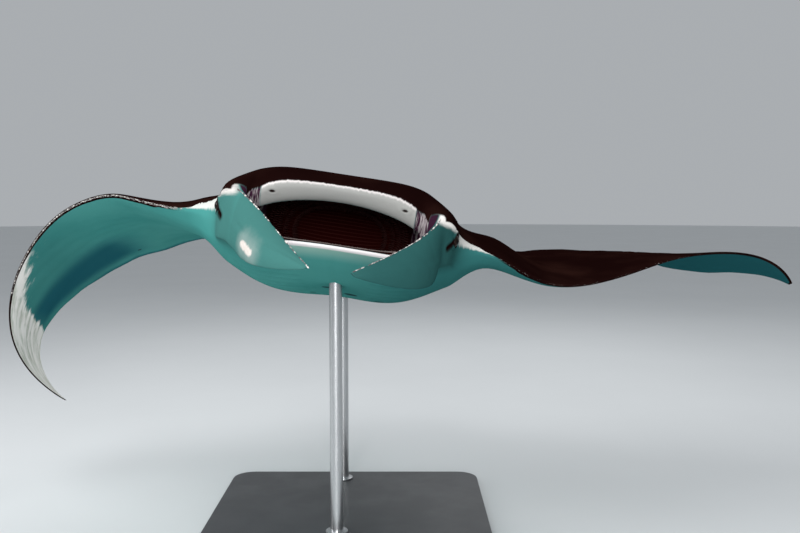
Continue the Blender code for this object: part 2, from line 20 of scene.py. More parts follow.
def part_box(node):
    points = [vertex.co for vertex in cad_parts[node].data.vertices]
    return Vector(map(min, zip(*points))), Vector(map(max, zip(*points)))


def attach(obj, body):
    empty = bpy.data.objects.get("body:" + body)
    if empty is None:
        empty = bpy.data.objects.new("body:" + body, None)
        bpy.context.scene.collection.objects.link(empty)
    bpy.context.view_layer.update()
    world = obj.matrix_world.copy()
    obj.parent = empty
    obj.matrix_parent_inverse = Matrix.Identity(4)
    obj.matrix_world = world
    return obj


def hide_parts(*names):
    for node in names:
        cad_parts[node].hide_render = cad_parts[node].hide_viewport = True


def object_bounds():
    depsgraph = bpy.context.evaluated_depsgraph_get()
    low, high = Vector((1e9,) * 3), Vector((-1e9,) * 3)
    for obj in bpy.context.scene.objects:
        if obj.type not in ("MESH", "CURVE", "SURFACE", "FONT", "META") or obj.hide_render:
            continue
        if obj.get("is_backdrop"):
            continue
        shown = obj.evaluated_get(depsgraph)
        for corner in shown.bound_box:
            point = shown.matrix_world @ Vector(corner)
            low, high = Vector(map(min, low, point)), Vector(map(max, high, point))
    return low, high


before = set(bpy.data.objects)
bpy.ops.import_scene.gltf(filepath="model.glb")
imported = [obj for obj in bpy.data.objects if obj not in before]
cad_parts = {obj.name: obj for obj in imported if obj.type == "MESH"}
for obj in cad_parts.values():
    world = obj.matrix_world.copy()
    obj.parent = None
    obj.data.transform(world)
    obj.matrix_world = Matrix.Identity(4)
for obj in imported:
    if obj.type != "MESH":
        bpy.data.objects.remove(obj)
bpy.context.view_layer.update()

# %% [markdown]
# ## Camera, floor and light
# A viewer stands a few steps in front of the head, at the height of its eyes, and looks very
# slightly down. The camera is placed from the point between the two eyes, because the eyes are
# what a viewer looks at. The studio is plain: a pale floor that runs to the horizon, a broad soft
# light high in front on the viewer's left, another straight ahead, weaker ones at the side and
# behind, and a pale surrounding. The two low lamps shine in a narrower cone, so that no hard edge
# of light falls on the floor.

# %% Camera
def shown(name, data):
    """An object with this data, put into the scene."""
    made = bpy.data.objects.new(name, data)
    bpy.context.scene.collection.objects.link(made)
    return made


def middle_of(node):
    low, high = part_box(node)
    return (Vector(low) + Vector(high)) / 2


between_eyes = (middle_of("eye_left") + middle_of("eye_right")) / 2
CAMERA_FROM_EYES = Vector((0.184, -2.60, 0.067))
LOOKING_DOWN = 4.28  # degrees

camera = shown("camera", bpy.data.cameras.new("camera"))
camera.data.lens = 40
camera.data.sensor_width = 36
camera.location = between_eyes + CAMERA_FROM_EYES
camera.rotation_euler = (math.radians(90 - LOOKING_DOWN), 0, 0)
bpy.context.scene.camera = camera
print("camera at", [round(value, 3) for value in camera.location])


# %% Nodes
def fill(tree, socket, value):
    """Links an output socket to an input, or sets the input to a plain value."""
    if isinstance(value, bpy.types.NodeSocket):
        tree.links.new(value, socket)
    elif isinstance(value, tuple) and socket.type == "RGBA":
        socket.default_value = (*value, 1)
    else:
        socket.default_value = value


def add_node(tree, kind, inputs, **settings):
    """Adds a node with these settings and inputs, and returns its outputs."""
    made = tree.nodes.new(kind)
    for name, value in settings.items():
        setattr(made, name, value)
    for key, value in inputs.items():
        fill(tree, made.inputs[key], value)
    return made.outputs


# %% Shader nodes
class Recipe:
    """Builds a material node by node. Each call adds a node and returns its output socket."""

    def __init__(self, name):
        self.material = bpy.data.materials.new(name)
        self.material.use_nodes = True
        self.tree = self.material.node_tree
        self.shader = self.tree.nodes["Principled BSDF"]

    def node(self, kind, inputs, **settings):
        return add_node(self.tree, "ShaderNode" + kind, inputs, **settings)

    def place(self):
        return self.node("TexCoord", {})["Object"]

    def noted(self, name):
        """A number stored on the mesh."""
        return self.node("Attribute", {}, attribute_name=name)["Fac"]

    def noted_place(self, name):
        """A place stored on the mesh."""
        return self.node("Attribute", {}, attribute_name=name)["Vector"]

    def parts(self, vector):
        return tuple(self.node("SeparateXYZ", {0: vector}))

    def place_from(self, x, y, z):
        return self.node("CombineXYZ", {0: x, 1: y, 2: z})[0]

    def sum(self, operation, a, b=0.0):
        """One step of arithmetic, such as "ADD", "MULTIPLY" or "ABSOLUTE"."""
        return self.node("Math", {0: a, 1: b}, operation=operation)[0]

    def times(self, a, b):
        return self.sum("MULTIPLY", a, b)

    def plus(self, a, b):
        return self.sum("ADD", a, b)

    def less(self, a, b):
        return self.sum("SUBTRACT", a, b)

    def fade(self, value, start, end, low=0.0, high=1.0):
        """Goes smoothly from low to high as value goes from start to end."""
        if start > end:
            start, end, low, high = end, start, high, low
        inputs = {"Value": value, "From Min": start, "From Max": end, "To Min": low, "To Max": high}
        return self.node("MapRange", inputs, interpolation_type="SMOOTHSTEP")["Result"]

    def spot(self, distance, inner, outer):
        """1 within a distance, 0 beyond another."""
        return self.fade(distance, outer, inner)

    def noise(self, place, scale, detail=3.0, roughness=0.55):
        """A soft random number around 0.5 that changes from place to place."""
        inputs = {"Vector": place, "Scale": scale, "Detail": detail, "Roughness": roughness}
        return self.node("TexNoise", inputs)["Fac"]

    def stretched(self, place, x, y, z):
        return self.node("Mapping", {"Vector": place, "Scale": (x, y, z)})["Vector"]

    def mix(self, share, one, two):
        """The colour one where share is 0 and two where it is 1."""
        return self.node("Mix", {0: share, 6: one, 7: two}, data_type="RGBA")[2]

    def bump(self, height, strength, distance):
        made = self.node("Bump", {"Height": height, "Strength": strength, "Distance": distance})
        self.tree.links.new(made["Normal"], self.shader.inputs["Normal"])

    def finish(self, **values):
        """Sets the shader's own sockets: colour, roughness and so on."""
        for name, value in values.items():
            fill(self.tree, self.shader.inputs[name.replace("_", " ")], value)
        return self.material


# %% Floor
FLOOR_RADIUS = 40.0


def floor_finish():
    """Smooth pale concrete with the faintest clouding."""
    recipe = Recipe("pale floor")
    cloud = recipe.noise(recipe.place(), 0.9, 4.0)
    colour = recipe.mix(cloud, (0.60, 0.62, 0.63), (0.66, 0.68, 0.69))
    return recipe.finish(Base_Color=colour, Roughness=0.6)


floor_mesh = bmesh.new()
bmesh.ops.create_circle(floor_mesh, cap_ends=True, segments=96, radius=FLOOR_RADIUS)
floor = shown("floor", bpy.data.meshes.new("floor"))
floor_mesh.to_mesh(floor.data)
floor_mesh.free()
floor.data.materials.append(floor_finish())
floor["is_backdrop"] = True


# %% Lights
def soft_light(name, place, size, power, spread=180):
    """A square of light that faces the animal's middle, within a cone this many degrees wide."""
    light = bpy.data.lights.new(name, "AREA")
    light.size = size
    light.energy = power
    light.spread = math.radians(spread)
    made = shown(name, light)
    made.location = place
    aim = Vector((0, 0, between_eyes.z)) - Vector(place)
    made.rotation_euler = aim.to_track_quat("-Z", "Y").to_euler()


soft_light("key", (-2.4, -2.6, 4.8), 3.6, 150)
soft_light("front fill", (0.2, -8.0, 2.8), 3.0, 155, 100)
soft_light("back light", (1.0, 3.8, 4.6), 3.0, 90)
soft_light("side light", (-6.0, -0.6, 2.8), 2.6, 46, 100)

surround = bpy.data.worlds.new("surround")
surround.use_nodes = True
surround.node_tree.nodes["Background"].inputs["Color"].default_value = (0.80, 0.84, 0.88, 1)
surround.node_tree.nodes["Background"].inputs["Strength"].default_value = 0.50
bpy.context.scene.world = surround
bpy.context.scene.view_settings.view_transform = "Standard"

# %% [markdown]
# ## The body's lines
# A manta is a flat lozenge with a box-shaped head let into its front. Its form could be carved
# from a lump, but it is easier to control as a boat builder would do it: a few long lines give
# the height of the back, the depth of the belly and the edge of the wings, and sections are
# hung on them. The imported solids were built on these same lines, so the skin fits them. The
# body is drawn flat and level in its own frame (x across, y back from the upper lip, z up from
# the eyes), and is put into its swimming pose only at the end.

# %% A smooth line through a few stations
def along(line, place):
    """The value of a line of (place, value) stations, for one place or an array of places."""
    places = np.array([station[0] for station in line], float)
    values = np.array([station[1] for station in line], float)
    widths = np.diff(places)
    slopes = np.diff(values) / widths
    before, after = slopes[:-1], slopes[1:]
    same_way = before * after > 0
    both = np.where(same_way, before + after, 1.0)
    inner = np.where(same_way, 2 * before * after / both, 0.0)
    tangents = np.concatenate([slopes[:1], inner, slopes[-1:]])
    at = np.clip(place, places[0], places[-1])
    i = np.clip(np.searchsorted(places, at, side="right") - 1, 0, len(widths) - 1)
    u = (at - places[i]) / widths[i]
    return ((1 + 2 * u) * (1 - u) ** 2 * values[i] + u * (1 - u) ** 2 * widths[i] * tangents[i]
            + u * u * (3 - 2 * u) * values[i + 1] + u * u * (u - 1) * widths[i] * tangents[i + 1])


# %% Sizes of the animal
HALF_SPAN = 1.75  # centre line to wing tip, laid flat
EYE_HALF_WIDTH = 0.349
EYE_BACK = 0.11
EYE_RADIUS = 0.024
EYE_SINK = 0.012  # the ball's centre lies this far in from the eye's place
MOUTH_HALF_WIDTH = 0.25
MOUTH_START = 0.09
MOUTH_DEPTH = 0.40
NOSE_UP = 11.0
ROLL_TO_LEFT = 8.6

# Lines on the centre line, running back from the lip, and half widths of back and belly.
BACK_HEIGHT = [(0.0, 0.090), (0.12, 0.131), (0.28, 0.168), (0.45, 0.184), (0.65, 0.188),
               (0.90, 0.165), (1.20, 0.105), (1.45, 0.058), (1.62, 0.034)]
BELLY_DEPTH = [(0.0, 0.050), (0.08, 0.070), (0.20, 0.093), (0.35, 0.115), (0.50, 0.130),
               (0.75, 0.151), (0.95, 0.147), (1.20, 0.106), (1.45, 0.055), (1.62, 0.032)]
BACK_HALF_WIDTH = [(0.0, 0.35), (0.28, 0.332), (0.60, 0.41), (0.90, 0.36), (1.25, 0.22),
                   (1.62, 0.10)]
BELLY_HALF_WIDTH = [(0.0, 0.405), (0.60, 0.397), (0.90, 0.33), (1.25, 0.20), (1.62, 0.10)]
BACK_SQUARENESS = 6.5
BELLY_SQUARENESS = 6.5
THROAT_DIP = 0.07
THROAT_DIP_WIDTH = 0.10

# Wings, from the centre line outwards.
WING_HALF_THICKNESS = [(0.0, 0.022), (0.45, 0.026), (0.80, 0.020), (1.20, 0.011), (1.55, 0.005),
                       (1.75, 0.0025)]
SKIN_HALF_THICKNESS = 0.0012
WING_ROOT = 0.40
WING_ROOT_FRONT = 0.24
WING_TIP_BACK = 1.06
WING_SWEEP_POWER = 2.1
WING_TIP_CHORD = 0.012
REAR_BACK = 1.04
REAR_ROOT_REACH = 0.60
REAR_ROOT_SPAN = 1.50
REAR_ROOT_POWER = 1.6
REAR_TIP_REACH = 0.03
REAR_TIP_SPAN = 1.45
print("back is highest", along(BACK_HEIGHT, 0.5).round(3), "m over the eyes")


# %% Outlines of body and wings
def leading_edge(x):
    share = np.maximum(0.0, (x - WING_ROOT) / (HALF_SPAN - WING_ROOT))
    return WING_ROOT_FRONT + (WING_TIP_BACK - WING_ROOT_FRONT) * share ** WING_SWEEP_POWER


def trailing_edge(x):
    root = np.maximum(0.0, 1 - x / REAR_ROOT_SPAN) ** REAR_ROOT_POWER
    tip = np.maximum(0.0, (x - REAR_TIP_SPAN) / (HALF_SPAN - REAR_TIP_SPAN)) ** 2
    return REAR_BACK + REAR_ROOT_REACH * root + REAR_TIP_REACH * tip


def fullness(x, half_width, squareness):
    """Share of the centre line's height that is left at a distance from it."""
    return 1 / (1 + (x / half_width) ** squareness)


def wing_half_thickness(x, chord_share):
    rounding = 2.2 * np.sqrt(chord_share) * (1 - chord_share)
    return along(WING_HALF_THICKNESS, x) * rounding + SKIN_HALF_THICKNESS


def back_surface(x, y, chord_share):
    body = along(BACK_HEIGHT, y) * fullness(x, along(BACK_HALF_WIDTH, y), BACK_SQUARENESS)
    return body + wing_half_thickness(x, chord_share)


def belly_surface(x, y, chord_share):
    body = along(BELLY_DEPTH, y) * fullness(x, along(BELLY_HALF_WIDTH, y), BELLY_SQUARENESS)
    dip = THROAT_DIP * np.exp(-((x / THROAT_DIP_WIDTH) ** 2))
    return -body * (1 - dip) - wing_half_thickness(x, chord_share)


print("chord at mid wing", (trailing_edge(0.9) - leading_edge(0.9)).round(3), "m")

# %% [markdown]
# ## Sections from the middle to the wing tips
# Each section is one closed loop of points: from the rear edge over the back to the brow, down
# the front, and along the belly to the rear edge again. Across the mouth, the front of the loop
# turns in round the roof and floor of the mouth. Beside the mouth it is the blunt cheek, and
# further out it shrinks to the wing's thin leading edge. All loops have the same number of
# points, so neighbours can be joined by four-sided faces.
#
# Each point also notes its row down the front, from 0 on the brow to 11 under the chin. The
# paint later follows these rows, as a real pattern follows the lips and the edge of a fin.

# %% Stations of the sections
BODY_SECTIONS = [
    # x_front x_rear y_front y_rear
    (0.000, 0.000, 0.000, 1.600),
    (0.085, 0.045, 0.001, 1.610),
    (0.160, 0.077, 0.004, 1.690),
    (0.205, 0.116, 0.008, 1.735),
    (0.235, 0.160, 0.014, 1.722),
    (0.250, 0.200, 0.022, 1.645),
    (0.262, 0.232, 0.010, 1.555),
    (0.306, 0.262, 0.022, 1.508),
    (0.336, 0.295, 0.055, 1.480),
    (0.352, 0.332, 0.120, 1.455),
    (0.366, 0.370, 0.185, 1.430),
    (0.398, 0.410, 0.228, 1.405),
    (0.445, 0.450, 0.248, 1.380),
]
MOUTH_SECTIONS = 5
FIN_SECTIONS = (6, 7)  # the cephalic fin grows between these
WING_SECTIONS = [0.52, 0.61, 0.72, 0.84, 0.96, 1.09, 1.22, 1.35, 1.47, 1.57, 1.65, 1.715]
CHORD_SHARES = [0.045, 0.12, 0.22, 0.34, 0.48, 0.63, 0.79, 0.93]

BROW_HEIGHT = [(0.250, 0.030), (0.262, 0.037), (0.306, 0.055), (0.336, 0.052), (0.352, 0.044),
               (0.366, 0.036), (0.398, 0.020), (0.445, 0.011), (0.52, 0.007), (1.0, 0.005),
               (1.75, 0.002)]
CHEEK_DEPTH = [(0.250, 0.095), (0.262, 0.112), (0.306, 0.112), (0.336, 0.098), (0.352, 0.080),
               (0.366, 0.060), (0.398, 0.028), (0.445, 0.012), (0.52, 0.007), (1.0, 0.005),
               (1.75, 0.002)]
# The front's rounding: share of its height below the brow, and share of it further back.
FRONT_ROUNDING = [(0.0, 0.0), (0.25, -0.04), (0.5, 0.0), (0.75, 0.075), (1.0, 0.225)]

# Mouth on the centre line: (behind the lip, height over the eyes).
UPPER_LIP_HEIGHT = 0.090
UPPER_LIP_DROP = 0.9
UPPER_JAW = (0.060, 0.041)
INNER_LIP = (0.056, -0.067)
LOWER_LIP = (0.040, -0.081)
CHIN = (0.075, -0.093)
JAW_ARCH = 0.86
JAW_SWEEP = 0.3
LIP_SWEEP = 1.3
CHIN_SWEEP = 1.1
MOUTH_MIDDLE = -0.012
MOUTH_HOLLOW = [(0.15, 0.080), (0.48, 0.105), (0.88, 0.085), (1.0, 0.0), (0.88, -0.085),
                (0.45, -0.095), (0.12, -0.078)]

REAR_HALF_HEIGHT = [(0.0, 0.034), (0.045, 0.030), (0.075, 0.006), (0.20, 0.003), (1.75, 0.0016)]
REAR_ROUNDING = 0.4


# %% Loops of points
def mouth_front(x, y_front):
    """Upper lip and jaw, roof, throat, floor, lower lip and chin, at x."""
    across = x / MOUTH_HALF_WIDTH
    closing = math.sqrt(1 - across ** 2)
    upper_lip = (x, y_front, UPPER_LIP_HEIGHT * (1 - UPPER_LIP_DROP * across ** 6))
    jaw = (x, UPPER_JAW[0] + JAW_SWEEP * x * x, UPPER_JAW[1] - JAW_ARCH * x * x)
    hollow = []
    for deep, height in MOUTH_HOLLOW:
        y = MOUTH_START + (MOUTH_DEPTH - MOUTH_START) * deep * closing
        hollow.append((x, y, MOUTH_MIDDLE + (height - MOUTH_MIDDLE) * closing))
    inner_lip = (x, INNER_LIP[0] + LIP_SWEEP * x * x, INNER_LIP[1])
    lower_lip = (x, LOWER_LIP[0] + LIP_SWEEP * x * x, LOWER_LIP[1])
    chin = (x, CHIN[0] + CHIN_SWEEP * x * x, CHIN[1])
    return [upper_lip, jaw] + hollow + [inner_lip, lower_lip, chin]


def plain_front(x, y_front):
    """The cheek or the leading edge. Its middle point is repeated, to match the mouth's loops."""
    top = float(along(BROW_HEIGHT, x))
    height = top + float(along(CHEEK_DEPTH, x))
    front = [(x, y_front + back * height, top - down * height) for down, back in FRONT_ROUNDING]
    return front[:2] + front[2:3] * (len(MOUTH_HOLLOW) + 1) + front[3:]


def section(x_front, x_rear, y_front, y_rear, front):
    back = []
    belly = []
    for share in CHORD_SHARES:
        ease = share * share * (3 - 2 * share)
        x = x_front + (x_rear - x_front) * ease
        y = y_front + (y_rear - y_front) * share
        back.append((x, y, float(back_surface(x, y, share))))
        belly.append((x, y, float(belly_surface(x, y, share))))
    height = float(along(REAR_HALF_HEIGHT, x_rear))
    rear = [(x_rear, y_rear + REAR_ROUNDING * height, 0.0), (x_rear, y_rear, height)]
    return rear + back[::-1] + front + belly + [(x_rear, y_rear, -height)]


def wing_tip_section(count):
    """The last section is one line, so that back and belly meet there."""
    y_front = float(leading_edge(HALF_SPAN))
    front = [0.0] * (count - 3 - 2 * len(CHORD_SHARES))
    shares = [1.0, 1.0] + CHORD_SHARES[::-1] + front + CHORD_SHARES + [1.0]
    return [(HALF_SPAN, y_front + WING_TIP_CHORD * share, 0.0) for share in shares]


def half_sections():
    sections = []
    for index, (x_front, x_rear, y_front, y_rear) in enumerate(BODY_SECTIONS):
        shape_front = mouth_front if index < MOUTH_SECTIONS else plain_front
        front = shape_front(x_front, y_front)
        sections.append(section(x_front, x_rear, y_front, y_rear, front))
    for x in WING_SECTIONS:
        y_front = float(leading_edge(x))
        front = plain_front(x, y_front)
        sections.append(section(x, x, y_front, float(trailing_edge(x)), front))
    sections.append(wing_tip_section(len(sections[0])))
    return sections


half = half_sections()
BROW_INDEX = 2 + len(CHORD_SHARES)  # place of the brow in a loop
print(len(half), "loops of", len(half[0]), "points on each side")

# %% [markdown]
# ## Head fins and tail
# The two cephalic fins are thin blades that the manta unrolls to steer water into its mouth.
# Each grows out of the front of the head as a stack of flat rings, from the root to a shared
# tip, between two curves: the upper rim and the lower edge. The whip tail grows out of the rear
# edge in the same way, with the small dorsal fin drawn out of its first rings. Fin points note
# how far along the fin they are, how far below its rim, and whether they face in or out.

# %% Lines of the fins and the tail
RIM_START = Vector((0.262, 0.010, 0.037))
RIM_BASE = RIM_START + Vector((0.022, 0.006, 0.006))
RIM_MIDDLE = Vector((0.180, -0.130, -0.080))
EDGE_START = Vector((0.290, 0.060, -0.112))
EDGE_MIDDLE = Vector((0.275, -0.150, -0.215))
FIN_TIP = Vector((0.052, -0.235, -0.176))
EDGE_TIP = FIN_TIP + Vector((0.012, 0.004, -0.008))
FIN_TIP_SHIFT = 0.022
FIN_MIDDLE_SHIFT = 0.026
FIN_STEPS = [0.14, 0.30, 0.46, 0.62, 0.78, 0.91, 1.0]
FIN_ROWS = 5
OFF_THE_FINS = -0.3  # the note of every point that is on no fin
FIN_BULGE = 0.022
FIN_RIM_SHARE = 0.45
FIN_HALF_THICKNESS = [(0.0, 0.020), (0.3, 0.011), (0.7, 0.006), (1.0, 0.003)]

TAIL_START = 1.62
TAIL_END = 2.95
TAIL_RISE = 0.035
TAIL_RADIUS = [(1.60, 0.033), (1.80, 0.025), (2.20, 0.015), (2.95, 0.0035)]
TAIL_RINGS = [1.66, 1.70, 1.735, 1.77, 1.81, 1.95, 2.15, 2.40, 2.70, TAIL_END]
TAIL_SIDES = 8
TAIL_SQUARENESS = 0.8
DORSAL_FIN = [(1.62, 0.0), (1.66, 0.012), (1.70, 0.040), (1.735, 0.066), (1.77, 0.060),
              (1.81, 0.0)]
DORSAL_FIN_LEAN = 0.5


def quadratic(start, middle, end, share):
    """A point on the smooth curve from start to end that is pulled towards middle."""
    return (1 - share) ** 2 * start + 2 * share * (1 - share) * middle + share ** 2 * end


def fin_shift(share):
    """How far both fins lie towards the animal's left of an even pose."""
    return FIN_TIP_SHIFT * share ** 2 + FIN_MIDDLE_SHIFT * math.sin(math.pi * share ** 0.7)


def fin_ring(share):
    """One ring of the left cephalic fin: (point, how far below the rim, -1 inside or 1 outside)."""
    rim = quadratic(RIM_BASE, RIM_MIDDLE, FIN_TIP, share)
    edge = quadratic(EDGE_START, EDGE_MIDDLE, EDGE_TIP, share)
    outward = (FIN_TIP - RIM_START).cross(edge - rim).normalized()
    inner = []
    outer = []
    for row in range(FIN_ROWS):
        below = row / (FIN_ROWS - 1)
        crown = FIN_BULGE * 4 * below * (1 - below) * math.sin(math.pi * share)
        middle = rim.lerp(edge, below) + outward * crown
        at_edge = row in (0, FIN_ROWS - 1)
        thickness = float(along(FIN_HALF_THICKNESS, share)) * (FIN_RIM_SHARE if at_edge else 1.0)
        inner.append((middle - outward * thickness, below, -1.0))
        outer.append((middle + outward * thickness, below, 1.0))
    return inner + outer[::-1]


def tail_ring(y):
    radius = float(along(TAIL_RADIUS, y))
    crest = float(along(DORSAL_FIN, y))
    rise = TAIL_RISE * (y - TAIL_START) ** 2
    points = []
    for step in range(TAIL_SIDES):
        angle = math.radians(135) - 2 * math.pi * step / TAIL_SIDES
        across = math.copysign(abs(math.cos(angle)) ** TAIL_SQUARENESS, math.cos(angle))
        up = math.copysign(abs(math.sin(angle)) ** TAIL_SQUARENESS, math.sin(angle))
        points.append(Vector((radius * across, y, rise + radius * up)))
    points[1] += Vector((0, DORSAL_FIN_LEAN * crest, crest))
    return points


# %% Joining loops and rings
def join_rings(mesh, rings):
    """Quads between successive closed rings of vertices, leaving out corners that coincide."""
    for one, two in zip(rings, rings[1:]):
        for i in range(len(one)):
            j = (i + 1) % len(one)
            corners = []
            for vertex in (one[i], one[j], two[j], two[i]):
                if vertex not in corners:
                    corners.append(vertex)
            if len(corners) > 2:
                mesh.faces.new(corners)


def open_faces(mesh, corners):
    group = set(corners)
    inside = [face for face in mesh.faces if set(face.verts) <= group]
    bmesh.ops.delete(mesh, geom=inside, context="FACES_ONLY")


def section_rings(mesh, row_note):
    """Vertices of all sections. Points that coincide share one, with the mean of their rows."""
    right = [[(-x, y, z) for x, y, z in one] for one in half[:0:-1]]
    rings = []
    for one in right + half:
        made = {}
        rows = {}
        for index, point in enumerate(one):
            made.setdefault(point, None)
            rows.setdefault(point, []).append(index - BROW_INDEX)
        for point in made:
            made[point] = mesh.verts.new(point)
            made[point][row_note] = float(np.mean(rows[point]))
        rings.append([made[point] for point in one])
    return rings


def grow_cephalic_fin(mesh, rings, side, notes):
    middle = len(rings) // 2
    below_middle = BROW_INDEX + 3 + len(MOUTH_HOLLOW)
    rows = [BROW_INDEX, BROW_INDEX + 1, BROW_INDEX + 2, below_middle, below_middle + 1]
    near, far = (rings[middle + side * index] for index in FIN_SECTIONS)
    base = [near[row] for row in rows] + [far[row] for row in rows[::-1]]
    open_faces(mesh, base)
    fin = [base]
    values = [[(0.0, below, face) for point, below, face in fin_ring(0.0)]]
    for share in FIN_STEPS:
        shift = fin_shift(share)
        ring = fin_ring(share)
        fin.append([mesh.verts.new((side * p.x + shift, p.y, p.z)) for p, below, face in ring])
        values.append([(share, below, face) for p, below, face in ring])
    join_rings(mesh, fin)
    tip = fin[-1]
    for i in range(FIN_ROWS - 1):
        mesh.faces.new((tip[i], tip[i + 1], tip[-2 - i], tip[-1 - i]))
    for ring, ring_values in zip(fin, values):
        for vertex, three in zip(ring, ring_values):
            for note, value in zip(notes, three):
                vertex[note] = value


def grow_tail(mesh, rings):
    middle = len(rings) // 2
    right, centre, left = rings[middle - 1], rings[middle], rings[middle + 1]
    base = [right[1], centre[1], left[1], left[0], left[-1], centre[-1], right[-1], right[0]]
    open_faces(mesh, base + [centre[0]])
    tail = [base] + [[mesh.verts.new(point) for point in tail_ring(y)] for y in TAIL_RINGS]
    join_rings(mesh, tail)
    mesh.faces.new(tail[-1])


def cage():
    """The closed control cage of the whole animal, with its notes."""
    mesh = bmesh.new()
    row_note = mesh.verts.layers.float.new("row")
    fin_notes = [mesh.verts.layers.float.new(name)
                 for name in ("fin_along", "fin_below", "fin_face")]
    rings = section_rings(mesh, row_note)
    join_rings(mesh, rings)
    for vertex in mesh.verts:
        vertex[fin_notes[0]] = OFF_THE_FINS
    for side in (1, -1):
        grow_cephalic_fin(mesh, rings, side, fin_notes)
    grow_tail(mesh, rings)
    loose = [edge for edge in mesh.edges if not edge.link_faces]
    bmesh.ops.delete(mesh, geom=loose, context="EDGES")
    loose = [vertex for vertex in mesh.verts if not vertex.link_faces]
    bmesh.ops.delete(mesh, geom=loose, context="VERTS")
    bmesh.ops.recalc_face_normals(mesh, faces=mesh.faces)
    return mesh


rough = cage()
print("cage:", len(rough.faces), "faces")

# %% [markdown]
# ## One smooth skin, fine where it matters
# Subdivision rounds the cage off into one closed surface. A viewer looks at the eyes and the
# lips and hardly at the middle of a wing, so the surface is then split further by place: edges
# longer than the wanted length are halved, again and again, and each new point is laid back on
# the true rounded surface. The five pairs of gill slits under the throat are drawn here too, as
# bowed lines, because the skin must be fine along them.

# %% Smoothing helpers
def smooth(source, levels):
    """An object that shows the cage rounded off by subdivision."""
    data = bpy.data.meshes.new("smooth")
    source.to_mesh(data)
    made = shown("smooth", data)
    subdivision = made.modifiers.new("smooth", "SUBSURF")
    subdivision.levels = levels
    subdivision.render_levels = levels
    return made


def drop(thing):
    data = thing.data
    bpy.data.objects.remove(thing)
    bpy.data.meshes.remove(data)


def soft_step(value, start, end):
    """Goes smoothly from 0 to 1 as value goes from start to end."""
    share = np.clip((value - start) / (end - start), 0, 1)
    return share * share * (3 - 2 * share)


def hump(distance, width):
    return np.exp(-((distance / width) ** 2))


# %% Gill slits
GILLS = [
    # behind the lip, inner end, outer end
    (0.400, 0.120, 0.300),
    (0.468, 0.115, 0.310),
    (0.536, 0.110, 0.305),
    (0.604, 0.105, 0.280),
    (0.668, 0.098, 0.235),
]
GILL_BOW = 1.5


def gill_places(across, y):
    """For each slit: how far a point lies behind it, and 1 along its length, fading at its ends."""
    found = []
    for back, inner, outer in GILLS:
        line = back + GILL_BOW * (across - (inner + outer) / 2) ** 2
        on = soft_step(across, inner - 0.012, inner + 0.02)
        on = on * soft_step(across, outer + 0.012, outer - 0.02)
        found.append((y - line, on))
    return found


# %% How long an edge may be, by place
EYE_PLACE = (EYE_HALF_WIDTH - EYE_SINK, EYE_BACK, 0.0)
NOSTRIL_PLACE = (0.190, 0.03, 0.05)


def wanted_length(x, y, z, row, fin_along):
    across = np.abs(x)
    length = np.full(len(x), 0.036)

    def finer(where, most):
        np.minimum(length, np.where(where, most, length), out=length)

    finer(y < 0.75, 0.026)
    finer((y < 0.45) & (across < 0.45), 0.0145)
    finer((row > 1.5) & (row < 9.0) & (across < 0.25), 0.016)
    finer((y - leading_edge(across) < 0.02) & (across > 0.4), 0.020)
    finer(fin_along > -0.1, 0.010)
    to_eye = np.sqrt((across - EYE_PLACE[0]) ** 2 + (y - EYE_PLACE[1]) ** 2 + z ** 2)
    finer(to_eye < 0.10, 0.0075)
    finer(to_eye < 0.052, 0.0036)
    to_nostril = np.sqrt((across - NOSTRIL_PLACE[0]) ** 2 + (y - NOSTRIL_PLACE[1]) ** 2
                         + (z - NOSTRIL_PLACE[2]) ** 2)
    finer(to_nostril < 0.022, 0.0045)
    finer((row > -0.9) & (row < 1.1) & (across < 0.26) & (y < 0.10), 0.0085)
    finer((row > 9.0) & (row < 11.0) & (across < 0.26), 0.0085)
    for behind, on in gill_places(across, y):
        finer((np.abs(behind) < 0.020) & (on > 0) & (row > 11), 0.0065)
    finer((y > 1.60) & (across < 0.04), 0.016)
    return length


# %% Split the long edges
SPLITS = 4


def places_of(mesh):
    return np.array([vertex.co for vertex in mesh.verts])


coarse = smooth(rough, 2)
fine = smooth(rough, 4)
graph = bpy.context.evaluated_depsgraph_get()
rounded = BVHTree.FromObject(fine, graph)
skin_mesh = bmesh.new()
skin_mesh.from_object(coarse, graph)
drop(coarse)
drop(fine)
rough.free()

for _ in range(SPLITS):
    row_note = skin_mesh.verts.layers.float["row"]
    along_note = skin_mesh.verts.layers.float["fin_along"]
    rows = np.array([vertex[row_note] for vertex in skin_mesh.verts])
    fin_along = np.array([vertex[along_note] for vertex in skin_mesh.verts])
    most = wanted_length(*places_of(skin_mesh).T, rows, fin_along)
    skin_mesh.verts.index_update()
    long_edges = [edge for edge in skin_mesh.edges
                  if edge.calc_length() > min(most[edge.verts[0].index], most[edge.verts[1].index])]
    bmesh.ops.subdivide_edges(skin_mesh, edges=long_edges, cuts=1, use_grid_fill=True)
    skin_mesh.normal_update()
    for vertex in skin_mesh.verts:
        place, normal = rounded.find_nearest(vertex.co)[:2]
        if normal.dot(vertex.normal) > 0.3:
            vertex.co = place

many_sided = [face for face in skin_mesh.faces if len(face.verts) > 4]
bmesh.ops.triangulate(skin_mesh, faces=many_sided)
bmesh.ops.recalc_face_normals(skin_mesh, faces=skin_mesh.faces)
skin_data = bpy.data.meshes.new("skin")
skin_mesh.to_mesh(skin_data)
skin_mesh.free()
skin_data.calc_loop_triangles()
print("skin:", len(skin_data.vertices), "points", len(skin_data.loop_triangles), "triangles")


# %% Read the mesh into arrays
def read(collection, name, width, kind=np.float32):
    values = np.empty(len(collection) * width, kind)
    collection.foreach_get(name, values)
    return values.reshape(-1, width) if width > 1 else values


def note(name):
    return read(skin_data.attributes[name].data, "value", 1).astype(float)


